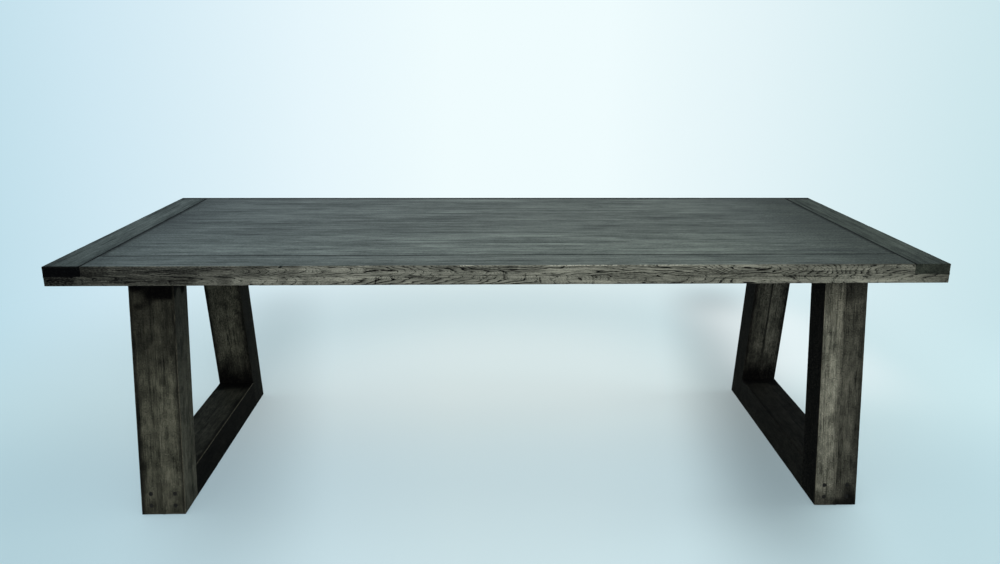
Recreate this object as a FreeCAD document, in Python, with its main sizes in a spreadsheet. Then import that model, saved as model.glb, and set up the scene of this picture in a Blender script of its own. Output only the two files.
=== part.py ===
import FreeCAD
import Part
import math
import os
import Sketcher

# A long dining table: a planked oak top with breadboard ends on two trestle frames.
# X runs along the table, Y from front to back, Z up. The origin is on the floor, under
# the middle of the top. Lengths are millimetres.

# Driving sizes. Each is the text of one cell of the sheet, under the name given here.
SIZES = {
    # tabletop
    "table_height": "760",
    "table_length": "2350",
    "table_width": "1000",
    "plank_thickness": "27",
    "edging_thickness": "25",
    "edging_width": "80",
    "breadboard_width": "94",
    "border_plank_width": "112",
    "top_arris": "1.5",
    "seam_arris": "0.8",
    # tongues, grooves and end tenons of the planks
    "tongue_thickness": "8",
    "tongue_length": "9",
    "groove_spare": "1",
    "end_tongue_length": "14",
    "end_tongue_stop": "20",
    "end_tenon_length": "60",
    "end_tenon_width": "70",
    "peg_diameter": "10",
    "peg_setback": "32",
    "peg_bite": "4",
    # battens under the top, each with a dovetail key let into the planks
    "frame_batten_width": "150",
    "middle_batten_width": "90",
    "key_height": "7",
    "key_shoulder": "16",
    "key_flare": "2.5",
    # trestle frames
    "end_overhang": "132",
    "foot_setback": "72.5",
    "head_setback": "178.5",
    "leg_width": "124",
    "leg_thickness": "102",
    "rail_height": "96",
    "top_rail_height": "75",
    "leg_arris": "1.2",
    "foot_pad_thickness": "2",
    "foot_pad_inset": "10",
    # tenons of the rails
    "tenon_width": "44",
    "tenon_height": "52",
    "top_tenon_height": "36",
    "tenon_length": "45",
    "mortise_spare": "1",
    # long screws through the legs into the rails, and the plugs that cover them
    "joint_screw_length": "150",
    "joint_screw_diameter": "7",
    "joint_screw_head_diameter": "11",
    "joint_screw_head_height": "4",
    "joint_screw_spacing": "68",
    "low_screw_height": "26",
    "high_screw_height": "61",
    "counterbore_depth": "28",
    "plug_diameter": "12",
    "plug_ease": "0.1",
    # bolts from the top rail up into the top
    "bolt_diameter": "8",
    "bolt_length": "70",
    "bolt_head_width": "13",
    "bolt_head_height": "5.5",
    "bolt_clearance": "0.5",
    "bolt_recess_depth": "22",
    "bolt_recess_diameter": "26",
    "bolt_spacing_across": "60",
    "bolt_spacing_along": "220",
    "washer_diameter": "22",
    "washer_thickness": "2",
    "insert_diameter": "12",
    "insert_length": "20",
    # small allowances
    "fit_gap": "0.1",
    "overrun": "5",
}

# Sizes that follow from the driving ones.
DERIVED = {
    "half_length": "=table_length / 2",
    "half_width": "=table_width / 2",
    "underside_z": "=table_height - plank_thickness - edging_thickness",
    "planks_z": "=table_height - plank_thickness",
    "seam_x": "=half_length - breadboard_width",
    "inner_planks_width": "=table_width - 2 * border_plank_width",
    "tongue_low": "=(plank_thickness - tongue_thickness) / 2",
    "tongue_high": "=(plank_thickness + tongue_thickness) / 2",
    "groove_depth": "=tongue_length + groove_spare",
    "peg_length": "=tongue_high + peg_bite",
    "frame_x": "=half_length - end_overhang - leg_width / 2",
    "frame_height": "=underside_z - foot_pad_thickness",
    "frame_base_depth": "=table_width - 2 * foot_setback",
    "frame_top_depth": "=table_width - 2 * head_setback",
    "lean": "=(frame_base_depth - frame_top_depth) / 2 / frame_height",
    "leg_depth": "=leg_thickness * sqrt(1 + lean * lean)",
    "stave_width": "=leg_width / 2",
    "leg_outer_y": "=frame_base_depth / 2",
    "leg_inner_y": "=leg_outer_y - leg_depth",
    "rail_middle": "=rail_height / 2",
    "top_rail_low": "=frame_height - top_rail_height",
    "top_rail_middle": "=frame_height - top_rail_height / 2",
    "screw_column": "=joint_screw_spacing / 2",
    "bolt_seat": "=top_rail_low + bolt_recess_depth",
    "batten_length": "=table_width - 2 * edging_width",
    "screw_tip_length": "=joint_screw_diameter",
}

# Shares of the width between the two border planks, from front to back.
INNER_PLANK_SHARES = (0.178, 0.173, 0.185, 0.214, 0.25)
# Inner planks whose ends carry a long tenon, counted from the front.
TENON_PLANKS = (2, 4, 6)
# The middle battens stand at this share of the distance from the centre to a frame.
MIDDLE_BATTEN_SHARE = 0.333
# The point of a long screw narrows by this angle on each side, in degrees.
SCREW_POINT_ANGLE = 20
# Round bores, screws and plugs are drawn with this many flats, because they repeat.
ROUND_SIDES = 12

doc = FreeCAD.newDocument("trestle_table")
sheet = doc.addObject("Spreadsheet::Sheet", "dims")
nodes = []


def fill_sheet():
    """Writes every size into the sheet, one row each, and names its cell."""
    for row, (name, text) in enumerate({**SIZES, **DERIVED}.items(), start=1):
        sheet.set(f"A{row}", name)
        sheet.set(f"B{row}", text)
        sheet.setAlias(f"B{row}", name)
        if text.startswith("="):
            doc.recompute()
    doc.recompute()


def named(text):
    """Puts the sheet's name before each size that an expression mentions."""
    words = []
    word = ""
    for character in text + " ":
        if character.isalnum() or character in "_.":
            word += character
            continue
        words.append(f"dims.{word}" if word in SIZES or word in DERIVED else word)
        words.append(character)
        word = ""
    return "".join(words)


def bind(target, prop, text):
    """Binds one property to an expression of the sheet's sizes."""
    target.setExpression(prop, named(text))


def place(target, x="0", y="0", z="0", turn=0, about=FreeCAD.Vector(0, 0, 1)):
    """Places an object at bound coordinates, turned by whole quarter turns."""
    target.Placement = FreeCAD.Placement(FreeCAD.Vector(), FreeCAD.Rotation(about, turn))
    bind(target, "Placement.Base.x", x)
    bind(target, "Placement.Base.y", y)
    bind(target, "Placement.Base.z", z)


def new_body(label, x="0", y="0", z="0", turn=0, node=True):
    """Starts a body. A node's body is one of the pieces that are written out."""
    body = doc.addObject("PartDesign::Body", label)
    body.Label = label
    place(body, x, y, z, turn)
    if node:
        nodes.append(body)
    return body


def origin_plane(body, role):
    """Finds one of a body's own origin planes by its role."""
    return [item for item in body.Origin.OriginFeatures if item.Role == role][0]


def new_sketch(body, name, role, lift="0"):
    """Attaches an empty sketch to an origin plane, lifted along the plane's normal."""
    sketch = body.newObject("Sketcher::SketchObject", f"{body.Name}_{name}")
    sketch.AttachmentSupport = [(origin_plane(body, role), "")]
    sketch.MapMode = "FlatFace"
    bind(sketch, "AttachmentOffset.Base.z", lift)
    return sketch


def hold_point(sketch, item, point, start, across, up):
    """Fixes one point of a sketch at bound distances from the sketch's origin."""
    index = sketch.addConstraint(Sketcher.Constraint("DistanceX", -1, 1, item, point, start.x))
    bind(sketch, f"Constraints[{index}]", across)
    index = sketch.addConstraint(Sketcher.Constraint("DistanceY", -1, 1, item, point, start.y))
    bind(sketch, f"Constraints[{index}]", up)


def add_outline(sketch, corners):
    """Draws a closed outline of straight lines through bound corners."""
    count = len(corners)
    first = sketch.GeometryCount
    starts = []
    for step in range(count):
        angle = 2 * math.pi * step / count
        starts.append(FreeCAD.Vector(math.cos(angle), math.sin(angle), 0))
    for step in range(count):
        sketch.addGeometry(Part.LineSegment(starts[step], starts[(step + 1) % count]), False)
    for step in range(count):
        following = first + (step + 1) % count
        sketch.addConstraint(Sketcher.Constraint("Coincident", first + step, 2, following, 1))
    for step, (across, up) in enumerate(corners):
        hold_point(sketch, first + step, 1, starts[step], across, up)


def rectangle(left, right, low, high):
    """Gives the corners of an upright rectangle."""
    return [(left, low), (right, low), (right, high), (left, high)]


def add_round(sketch, across, up, diameter):
    """Draws a round outline with a few equal flats about a bound centre."""
    corners = []
    for step in range(ROUND_SIDES):
        angle = 2 * math.pi * step / ROUND_SIDES
        across_share = round(math.cos(angle) / 2, 5)
        up_share = round(math.sin(angle) / 2, 5)
        corners.append((f"{across} + {across_share} * ({diameter})", f"{up} + {up_share} * ({diameter})"))
    add_outline(sketch, corners)


def pad(body, sketch, length, symmetric=False, backwards=False):
    """Raises a sketch into a solid."""
    feature = body.newObject("PartDesign::Pad", f"{sketch.Name}_pad")
    feature.Profile = sketch
    feature.SideType = "Symmetric" if symmetric else "One side"
    feature.Reversed = backwards
    bind(feature, "Length", length)
    return feature


def pocket(body, sketch, length=None, symmetric=False, forwards=False):
    """Cuts a sketch out of the solid, right through where no length is given."""
    doc.recompute()
    before = body.Shape.Volume
    feature = body.newObject("PartDesign::Pocket", f"{sketch.Name}_cut")
    feature.Profile = sketch
    feature.SideType = "Symmetric" if symmetric else "One side"
    feature.Reversed = forwards
    if length is None:
        feature.Type = "ThroughAll"
    else:
        bind(feature, "Length", length)
    doc.recompute()
    if not body.Shape.Volume < before:
        raise ValueError(f"{feature.Name} removes nothing")
    return feature


def mirror(body, features, role):
    """Repeats features on the other side of an origin plane."""
    copy = body.newObject("PartDesign::Mirrored", f"{features[0].Name}_mirror")
    copy.Originals = features
    copy.MirrorPlane = (origin_plane(body, role), [""])
    body.Tip = copy
    return copy


def ease_corner(body, role, name, across_way, across, up_way, up):
    """Cuts one long arris off, where a plane's outline has a corner at bound coordinates."""
    cut = new_sketch(body, f"arris_{name}", role)
    add_outline(cut, [
        (f"{across} - {across_way} * (top_arris + overrun)", f"{up} + {up_way} * overrun"),
        (f"{across} + {across_way} * overrun", f"{up} + {up_way} * overrun"),
        (f"{across} + {across_way} * overrun", f"{up} - {up_way} * (top_arris + overrun)"),
    ])
    return pocket(body, cut, symmetric=True)


def group(label, members):
    """Gathers equal small pieces into one node, as separate solids."""
    compound = doc.addObject("Part::Compound", label)
    compound.Label = label
    compound.Links = members
    nodes.append(compound)
    return compound


def copy_of(master, name, x, y, z, turn=0):
    """Places a linked copy of a master piece."""
    link = doc.addObject("App::Link", name)
    link.LinkedObject = master
    link.LinkTransform = False
    place(link, x, y, z, turn)
    return link


def seam_y(number):
    """Gives the place of the seam behind plank number, where 0 is the front edge."""
    last = plank_count()
    if number == 0:
        return "-half_width"
    if number == last:
        return "half_width"
    share = round(sum(INNER_PLANK_SHARES[:number - 1]), 3)
    return f"(border_plank_width - half_width + {share} * inner_planks_width)"


def plank_count():
    """Counts the planks: the inner ones and the two border planks."""
    return len(INNER_PLANK_SHARES) + 2


def plank_middle(number):
    """Gives the middle line of plank number, counted from 1 at the front."""
    return f"(({seam_y(number - 1)} + {seam_y(number)}) / 2)"


def batten_places():
    """Gives each batten's name, place along the table and width."""
    inner = f"{MIDDLE_BATTEN_SHARE} * frame_x"
    return {
        "batten_left_frame": ("-frame_x", "frame_batten_width"),
        "batten_left_middle": (f"-{inner}", "middle_batten_width"),
        "batten_right_middle": (inner, "middle_batten_width"),
        "batten_right_frame": ("frame_x", "frame_batten_width"),
    }


def key_section(x, width):
    """Gives the dovetail of a batten in section: narrow at the planks' lower face."""
    neck = f"({width} / 2 - key_shoulder - key_flare)"
    crown = f"({width} / 2 - key_shoulder)"
    return [
        (f"{x} - {neck}", "0"),
        (f"{x} + {neck}", "0"),
        (f"{x} + {crown}", "key_height"),
        (f"{x} - {crown}", "key_height"),
    ]


def plank_section(number):
    """Gives a plank's cross-section: groove in front, tongue behind, eased upper arrises."""
    last = plank_count()
    front = seam_y(number - 1)
    back = seam_y(number)
    # The outer edges have the wide arris. The seams of the border planks show a fine V.
    arris = {0: "top_arris", 1: "seam_arris", last - 1: "seam_arris", last: "top_arris"}
    corners = [(front, "0"), (back, "0")]
    if number < last:
        corners.append((back, "tongue_low"))
        corners.append((f"{back} + tongue_length", "tongue_low"))
        corners.append((f"{back} + tongue_length", "tongue_high"))
        corners.append((back, "tongue_high"))
    if number in arris:
        corners.append((back, f"plank_thickness - {arris[number]}"))
        corners.append((f"{back} - {arris[number]}", "plank_thickness"))
    else:
        corners.append((back, "plank_thickness"))
    if number - 1 in arris:
        corners.append((f"{front} + {arris[number - 1]}", "plank_thickness"))
        corners.append((front, f"plank_thickness - {arris[number - 1]}"))
    else:
        corners.append((front, "plank_thickness"))
    if number > 1:
        corners.append((front, "tongue_high"))
        corners.append((f"{front} + groove_depth", "tongue_high"))
        corners.append((f"{front} + groove_depth", "tongue_low"))
        corners.append((front, "tongue_low"))
    return corners


def make_plank(number):
    """Makes one plank with its edge joints, end tongues, tenons and batten housings."""
    last = plank_count()
    body = new_body(f"top_plank_{number}", z="planks_z")
    section = new_sketch(body, "section", "YZ_Plane")
    add_outline(section, plank_section(number))
    pad(body, section, "2 * seam_x", symmetric=True)
    # The end tongue is cut across the joined planks, so it takes in the long tongue's end.
    front = f"{seam_y(number - 1)} + groove_depth"
    back = f"{seam_y(number)} + tongue_length"
    if number == 1:
        front = "end_tongue_stop - half_width"
    if number == last:
        back = "half_width - end_tongue_stop"
    tongue = new_sketch(body, "end_tongue", "YZ_Plane", "seam_x")
    add_outline(tongue, rectangle(front, back, "tongue_low", "tongue_high"))
    ends = [pad(body, tongue, "end_tongue_length")]
    if number in TENON_PLANKS:
        middle = plank_middle(number)
        tenon = new_sketch(body, "end_tenon", "YZ_Plane", "seam_x")
        left = f"{middle} - end_tenon_width / 2"
        right = f"{middle} + end_tenon_width / 2"
        add_outline(tenon, rectangle(left, right, "tongue_low", "tongue_high"))
        ends.append(pad(body, tenon, "end_tenon_length"))
        peg = new_sketch(body, "peg_hole", "XY_Plane")
        add_round(peg, "seam_x + peg_setback", middle, "peg_diameter")
        ends.append(pocket(body, peg, "plank_thickness", forwards=True))
    mirror(body, ends, "YZ_Plane")
    housings = new_sketch(body, "housings", "XZ_Plane")
    for x, width in batten_places().values():
        add_outline(housings, key_section(x, width))
    pocket(body, housings, "batten_length", symmetric=True)
    return body


def make_breadboard(side, sign):
    """Makes one end board, grooved and mortised for the planks and pegged from below."""
    body = new_body(f"breadboard_{side}", z="planks_z")
    seam = f"{sign} * seam_x"
    end = f"{sign} * half_length"
    section = new_sketch(body, "section", "XZ_Plane")
    add_outline(section, [
        (seam, "0"),
        (end, "0"),
        (end, "plank_thickness - top_arris"),
        (f"{end} - {sign} * top_arris", "plank_thickness"),
        (f"{seam} + {sign} * seam_arris", "plank_thickness"),
        (seam, "plank_thickness - seam_arris"),
    ])
    pad(body, section, "table_width", symmetric=True)
    groove = new_sketch(body, "groove", "YZ_Plane", seam)
    add_outline(groove, rectangle("end_tongue_stop - half_width", "half_width - end_tongue_stop",
                                  "tongue_low", "tongue_high"))
    pocket(body, groove, "end_tongue_length + groove_spare", forwards=sign > 0)
    mortises = new_sketch(body, "mortises", "YZ_Plane", seam)
    pegs = new_sketch(body, "peg_holes", "XY_Plane")
    for number in TENON_PLANKS:
        middle = plank_middle(number)
        left = f"{middle} - end_tenon_width / 2 - groove_spare"
        right = f"{middle} + end_tenon_width / 2 + groove_spare"
        add_outline(mortises, rectangle(left, right, "tongue_low", "tongue_high"))
        add_round(pegs, f"{seam} + {sign} * peg_setback", middle, "peg_diameter")
    pocket(body, mortises, "end_tenon_length + groove_spare", forwards=sign > 0)
    pocket(body, pegs, "peg_length + fit_gap", forwards=True)
    for name, way in (("front", -1), ("rear", 1)):
        rim = f"{way} * half_width"
        ease_corner(body, "YZ_Plane", f"{name}_top", way, rim, 1, "plank_thickness")
        ease_corner(body, "XY_Plane", f"{name}_corner", sign, end, way, rim)
    return body


def make_pegs(side, sign):
    """Makes the pegs that hold the long tenons of one end board."""
    pegs = []
    for number in TENON_PLANKS:
        peg = doc.addObject("Part::Prism", f"peg_{side}_{number}")
        peg.Polygon = ROUND_SIDES
        bind(peg, "Circumradius", "(peg_diameter - fit_gap) / 2")
        bind(peg, "Height", "peg_length")
        place(peg, f"{sign} * (seam_x + peg_setback)", plank_middle(number), "planks_z")
        pegs.append(peg)
    return group(f"breadboard_pegs_{side}", pegs)


def make_long_edging(name, sign):
    """Makes the strip under the front or the back edge, eased along its lower arris."""
    body = new_body(f"edging_{name}", z="underside_z")
    outer = f"{sign} * half_width"
    inner = f"{sign} * (half_width - edging_width)"
    section = new_sketch(body, "section", "YZ_Plane")
    add_outline(section, [
        (inner, "0"),
        (f"{outer} - {sign} * top_arris", "0"),
        (outer, "top_arris"),
        (outer, "edging_thickness"),
        (inner, "edging_thickness"),
    ])
    pad(body, section, "table_length", symmetric=True)
    for side, way in (("left", -1), ("right", 1)):
        end = f"{way} * half_length"
        ease_corner(body, "XZ_Plane", f"{side}_bottom", way, end, -1, "0")
        ease_corner(body, "XY_Plane", f"{side}_corner", way, end, sign, outer)
    return body


def make_end_edging(side, sign):
    """Makes the strip under one end board, between the two long strips."""
    body = new_body(f"edging_{side}", z="underside_z")
    outer = f"{sign} * half_length"
    inner = f"{sign} * (half_length - edging_width)"
    section = new_sketch(body, "section", "XZ_Plane")
    add_outline(section, [
        (inner, "0"),
        (f"{outer} - {sign} * top_arris", "0"),
        (outer, "top_arris"),
        (outer, "edging_thickness"),
        (inner, "edging_thickness"),
    ])
    pad(body, section, "batten_length", symmetric=True)
    return body


def bolt_places():
    """Gives the four bolts of a frame, seen from the middle of the frame."""
    return [
        (f"{across} * bolt_spacing_across / 2", f"{along} * bolt_spacing_along / 2")
        for across in (-1, 1)
        for along in (-1, 1)
    ]


def make_batten(name, x, width):
    """Makes one cross batten: a flat bar between the edging, with a dovetail key on top."""
    body = new_body(name, x=x, z="underside_z")
    bar = new_sketch(body, "bar", "XZ_Plane")
    add_outline(bar, rectangle(f"-{width} / 2", f"{width} / 2", "0", "edging_thickness"))
    pad(body, bar, "batten_length", symmetric=True)
    key = new_sketch(body, "key", "XZ_Plane")
    add_outline(key, [(across, f"edging_thickness + {up}") for across, up in key_section("0", width)])
    pad(body, key, "batten_length", symmetric=True)
    if width == "frame_batten_width":
        sockets = new_sketch(body, "insert_sockets", "XY_Plane")
        for across, along in bolt_places():
            add_round(sockets, across, along, "insert_diameter + fit_gap")
        pocket(body, sockets, "insert_length + fit_gap", forwards=True)
    return body


def screw_rows():
    """Gives each row of joint screws: its name and its height above the leg's foot."""
    return {"low": "low_screw_height", "high": "high_screw_height", "top": "top_rail_middle"}


def make_stave(side, sign, end, turn, layer, outward):
    """Makes one of the two glued halves of a leg, with its half of each mortise."""
    body = new_body(f"{side}_{end}_leg_{layer}", x=f"{sign} * frame_x", z="foot_pad_thickness", turn=turn)
    # In the body's own frame the leg stands at the back and leans inwards as it rises.
    way = sign * outward if turn == 0 else -sign * outward
    foot = new_sketch(body, "foot", "XY_Plane")
    outer = f"{way} * stave_width"
    eased = f"{way} * (stave_width - leg_arris)"
    add_outline(foot, [
        ("0", "leg_inner_y"),
        (eased, "leg_inner_y"),
        (outer, "leg_inner_y + leg_arris"),
        (outer, "leg_outer_y - leg_arris"),
        (eased, "leg_outer_y"),
        ("0", "leg_outer_y"),
    ])
    post = pad(body, foot, "frame_height")
    post.UseCustomVector = True
    post.AlongSketchNormal = True
    post.Direction = FreeCAD.Vector(0, 0, 1)
    bind(post, "Direction.y", "-lean")
    mortises = new_sketch(body, "mortises", "YZ_Plane")
    for middle, height in (("rail_middle", "tenon_height"), ("top_rail_middle", "top_tenon_height")):
        low = f"{middle} - {height} / 2"
        high = f"{middle} + {height} / 2"
        mouth = f"leg_inner_y - lean * ({high}) - overrun"
        floor = f"leg_inner_y - lean * {middle} + tenon_length + mortise_spare"
        add_outline(mortises, rectangle(mouth, floor, low, high))
    pocket(body, mortises, "tenon_width / 2", forwards=way > 0)
    shanks = new_sketch(body, "screw_holes", "XZ_Plane")
    for height in screw_rows().values():
        add_round(shanks, f"{way} * screw_column", height, "joint_screw_diameter + 2 * fit_gap")
    pocket(body, shanks)
    for row, height in screw_rows().items():
        seat = f"leg_outer_y - lean * {height} - counterbore_depth"
        bore = new_sketch(body, f"counterbore_{row}", "XZ_Plane", f"-({seat})")
        add_round(bore, f"{way} * screw_column", height, "plug_diameter")
        pocket(body, bore)
    return body


def make_rail(name, sign, low, height, tenon_height, rows):
    """Makes a rail between the legs: slanted shoulders, a tenon each end and pilot holes."""
    body = new_body(name, x=f"{sign} * frame_x", z=f"foot_pad_thickness + {low}")
    section = new_sketch(body, "section", "XZ_Plane")
    half = "leg_width / 2"
    add_outline(section, [
        (f"leg_arris - {half}", "0"),
        (f"{half} - leg_arris", "0"),
        (half, "leg_arris"),
        (half, f"{height} - leg_arris"),
        (f"{half} - leg_arris", height),
        (f"leg_arris - {half}", height),
        (f"-{half}", f"{height} - leg_arris"),
        (f"-{half}", "leg_arris"),
    ])
    foot_y = f"(leg_inner_y - lean * ({low}))"
    pad(body, section, f"2 * {foot_y}", symmetric=True)
    wedge = new_sketch(body, "shoulder", "YZ_Plane")
    add_outline(wedge, [
        (foot_y, "0"),
        (f"{foot_y} + overrun", "0"),
        (f"{foot_y} + overrun", f"{height} + overrun"),
        (f"{foot_y} - lean * ({height} + overrun)", f"{height} + overrun"),
    ])
    shoulder = pocket(body, wedge, "leg_width + overrun", symmetric=True)
    mirror(body, [shoulder], "XZ_Plane")
    tenon = new_sketch(body, "tenon", "YZ_Plane")
    tip = f"({foot_y} - lean * {height} / 2 + tenon_length)"
    add_outline(tenon, rectangle(f"-{tip}", tip, f"({height} - {tenon_height}) / 2",
                                 f"({height} + {tenon_height}) / 2"))
    pad(body, tenon, "tenon_width", symmetric=True)
    holes = []
    for row, row_height in rows.items():
        seat = f"leg_outer_y - lean * {row_height} - counterbore_depth"
        point = f"({seat} - joint_screw_length - mortise_spare)"
        pilots = new_sketch(body, f"pilot_holes_{row}", "XZ_Plane", f"-{point}")
        for column in (-1, 1):
            add_round(pilots, f"{column} * screw_column", f"{row_height} - ({low})", "joint_screw_diameter")
        holes.append(pocket(body, pilots, "joint_screw_length"))
    mirror(body, holes, "XZ_Plane")
    return body


def bore_for_bolts(rail):
    """Drills a top rail for its bolts, with a recess from below for each head."""
    holes = new_sketch(rail, "bolt_holes", "XY_Plane")
    recesses = new_sketch(rail, "bolt_recesses", "XY_Plane")
    for across, along in bolt_places():
        add_round(holes, across, along, "bolt_diameter + 2 * bolt_clearance")
        add_round(recesses, across, along, "bolt_recess_diameter")
    pocket(rail, holes, forwards=True)
    pocket(rail, recesses, "bolt_recess_depth", forwards=True)


def make_joint_screw_master():
    """Makes a long wood screw lying along Y, its head outwards and seated at the origin."""
    body = new_body("joint_screw_master", node=False)
    head = new_sketch(body, "head", "XZ_Plane")
    add_round(head, "0", "0", "joint_screw_head_diameter")
    pad(body, head, "joint_screw_head_height", backwards=True)
    shank = new_sketch(body, "shank", "XZ_Plane")
    add_round(shank, "0", "0", "joint_screw_diameter")
    pad(body, shank, "joint_screw_length - screw_tip_length")
    tip = new_sketch(body, "tip", "XZ_Plane", "joint_screw_length - screw_tip_length")
    add_round(tip, "0", "0", "joint_screw_diameter")
    point = pad(body, tip, "screw_tip_length")
    point.TaperAngle = -SCREW_POINT_ANGLE
    return body


def make_plug_master():
    """Makes a wooden plug lying along Y, its outer end cut flush with the leaning face."""
    body = new_body("plug_master", node=False)
    disc = new_sketch(body, "disc", "XZ_Plane", "-joint_screw_head_height - fit_gap")
    add_round(disc, "0", "0", "plug_diameter - plug_ease")
    pad(body, disc, "counterbore_depth", backwards=True)
    trim = new_sketch(body, "trim", "YZ_Plane")
    reach = "plug_diameter"
    add_outline(trim, [
        (f"counterbore_depth + lean * {reach}", f"-{reach}"),
        (f"counterbore_depth + lean * {reach} + 2 * {reach}", f"-{reach}"),
        (f"counterbore_depth + lean * {reach} + 2 * {reach}", reach),
        (f"counterbore_depth - lean * {reach}", reach),
    ])
    pocket(body, trim, "2 * plug_diameter", symmetric=True)
    return body


def make_leg_fixings(screw, plug, side, sign, end, turn):
    """Makes the screws of one leg and the plugs that cover them."""
    facing = 1 if turn == 0 else -1
    screws = []
    plugs = []
    for row, height in screw_rows().items():
        for column in (-1, 1):
            x = f"{sign} * frame_x + {column} * screw_column"
            y = f"{facing} * (leg_outer_y - lean * {height} - counterbore_depth)"
            z = f"foot_pad_thickness + {height}"
            tag = f"{side}_{end}_{row}_{column + 1}"
            screws.append(copy_of(screw, f"screw_{tag}", x, y, z, turn))
            plugs.append(copy_of(plug, f"plug_{tag}", x, y, z, turn))
    group(f"{side}_{end}_leg_screws", screws)
    group(f"{side}_{end}_leg_plugs", plugs)


def make_foot_pad(side, sign, end, turn):
    """Makes the felt sheet under one leg, set in from the leg's edges."""
    body = new_body(f"{side}_{end}_foot_pad", x=f"{sign} * frame_x", turn=turn)
    plan = new_sketch(body, "plan", "XY_Plane")
    half = "leg_width / 2 - foot_pad_inset"
    add_outline(plan, rectangle(f"-({half})", half, "leg_inner_y + foot_pad_inset",
                                "leg_outer_y - foot_pad_inset"))
    pad(body, plan, "foot_pad_thickness")
    return body


def make_bolt_master():
    """Makes a hexagon bolt, its head down and seated at the origin."""
    body = new_body("bolt_master", node=False)
    head = new_sketch(body, "head", "XY_Plane")
    long_corner = "bolt_head_width / sqrt(3)"
    short_corner = "bolt_head_width / sqrt(3) / 2"
    flat = "bolt_head_width / 2"
    add_outline(head, [
        (long_corner, "0"),
        (short_corner, flat),
        (f"-{short_corner}", flat),
        (f"-{long_corner}", "0"),
        (f"-{short_corner}", f"-{flat}"),
        (short_corner, f"-{flat}"),
    ])
    pad(body, head, "bolt_head_height", backwards=True)
    shank = new_sketch(body, "shank", "XY_Plane")
    add_round(shank, "0", "0", "bolt_diameter")
    pad(body, shank, "bolt_length")
    return body


def make_ring_master(name, outer, inner, length):
    """Makes an upright ring that starts at the origin."""
    body = new_body(name, node=False)
    ring = new_sketch(body, "ring", "XY_Plane")
    add_round(ring, "0", "0", outer)
    add_round(ring, "0", "0", inner)
    pad(body, ring, length)
    return body


def make_bolt_sets(bolt, washer, insert, side, sign):
    """Makes the bolts, washers and threaded inserts that join one frame to the top."""
    bolts = []
    washers = []
    inserts = []
    for number, (across, along) in enumerate(bolt_places(), start=1):
        x = f"{sign} * frame_x + {across}"
        seat = "foot_pad_thickness + bolt_seat"
        bolts.append(copy_of(bolt, f"bolt_{side}_{number}", x, along, f"{seat} - washer_thickness"))
        washers.append(copy_of(washer, f"washer_{side}_{number}", x, along, f"{seat} - washer_thickness"))
        inserts.append(copy_of(insert, f"insert_{side}_{number}", x, along, "underside_z"))
    group(f"{side}_frame_bolts", bolts)
    group(f"{side}_frame_washers", washers)
    group(f"{side}_frame_inserts", inserts)


def make_tabletop():
    """Makes the planks, end boards, edging and battens."""
    for number in range(1, plank_count() + 1):
        make_plank(number)
    for side, sign in (("left", -1), ("right", 1)):
        make_breadboard(side, sign)
        make_pegs(side, sign)
        make_end_edging(side, sign)
    make_long_edging("front", -1)
    make_long_edging("rear", 1)
    for name, (x, width) in batten_places().items():
        make_batten(name, x, width)


def make_frames():
    """Makes both trestle frames with their fixings."""
    screw = make_joint_screw_master()
    plug = make_plug_master()
    bolt = make_bolt_master()
    bore = "bolt_diameter + fit_gap"
    washer = make_ring_master("washer_master", "washer_diameter", bore, "washer_thickness")
    insert = make_ring_master("insert_master", "insert_diameter", bore, "insert_length")
    rows = screw_rows()
    top_row = {"top": rows.pop("top")}
    for side, sign in (("left", -1), ("right", 1)):
        for end, turn in (("front", 180), ("rear", 0)):
            for layer, outward in (("inner", -1), ("outer", 1)):
                make_stave(side, sign, end, turn, layer, outward)
            make_leg_fixings(screw, plug, side, sign, end, turn)
            make_foot_pad(side, sign, end, turn)
        make_rail(f"{side}_bottom_rail", sign, "0", "rail_height", "tenon_height", rows)
        rail = make_rail(f"{side}_top_rail", sign, "top_rail_low", "top_rail_height",
                         "top_tenon_height", top_row)
        bore_for_bolts(rail)
        make_bolt_sets(bolt, washer, insert, side, sign)


def check_and_write():
    """Stops on any failed object or bad shape, then writes one file for each node."""
    doc.recompute()
    for item in doc.Objects:
        if "Invalid" in item.State or "Error" in item.State:
            raise RuntimeError(f"{item.Name} failed: {item.State}")
    for node in nodes:
        if node.Shape.isNull() or not node.Shape.isValid():
            raise RuntimeError(f"{node.Label} has no valid shape")
    os.makedirs("parts", exist_ok=True)
    for node in nodes:
        node.Shape.exportStep(f"parts/{node.Label}.step")
        box = node.Shape.BoundBox
        size = f"{box.XLength:.1f} x {box.YLength:.1f} x {box.ZLength:.1f}"
        print(f"{node.Label}: {len(node.Shape.Solids)} solid(s), {size} mm")
    print(f"{len(nodes)} nodes")


fill_sheet()
make_tabletop()
make_frames()
check_and_write()
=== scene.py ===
# %% [markdown]
# # A weathered oak table on two trestle frames
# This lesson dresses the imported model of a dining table: long planks, an end board across
# each end, a doubled edge, and two frames whose legs lean inwards. Everything is in metres,
# with the origin on the floor under the middle of the top, +X along the table, +Y to the
# back and +Z up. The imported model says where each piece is, so nothing is fitted by eye.

import math

import bpy
import numpy as np
from mathutils import Matrix, Vector


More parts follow.
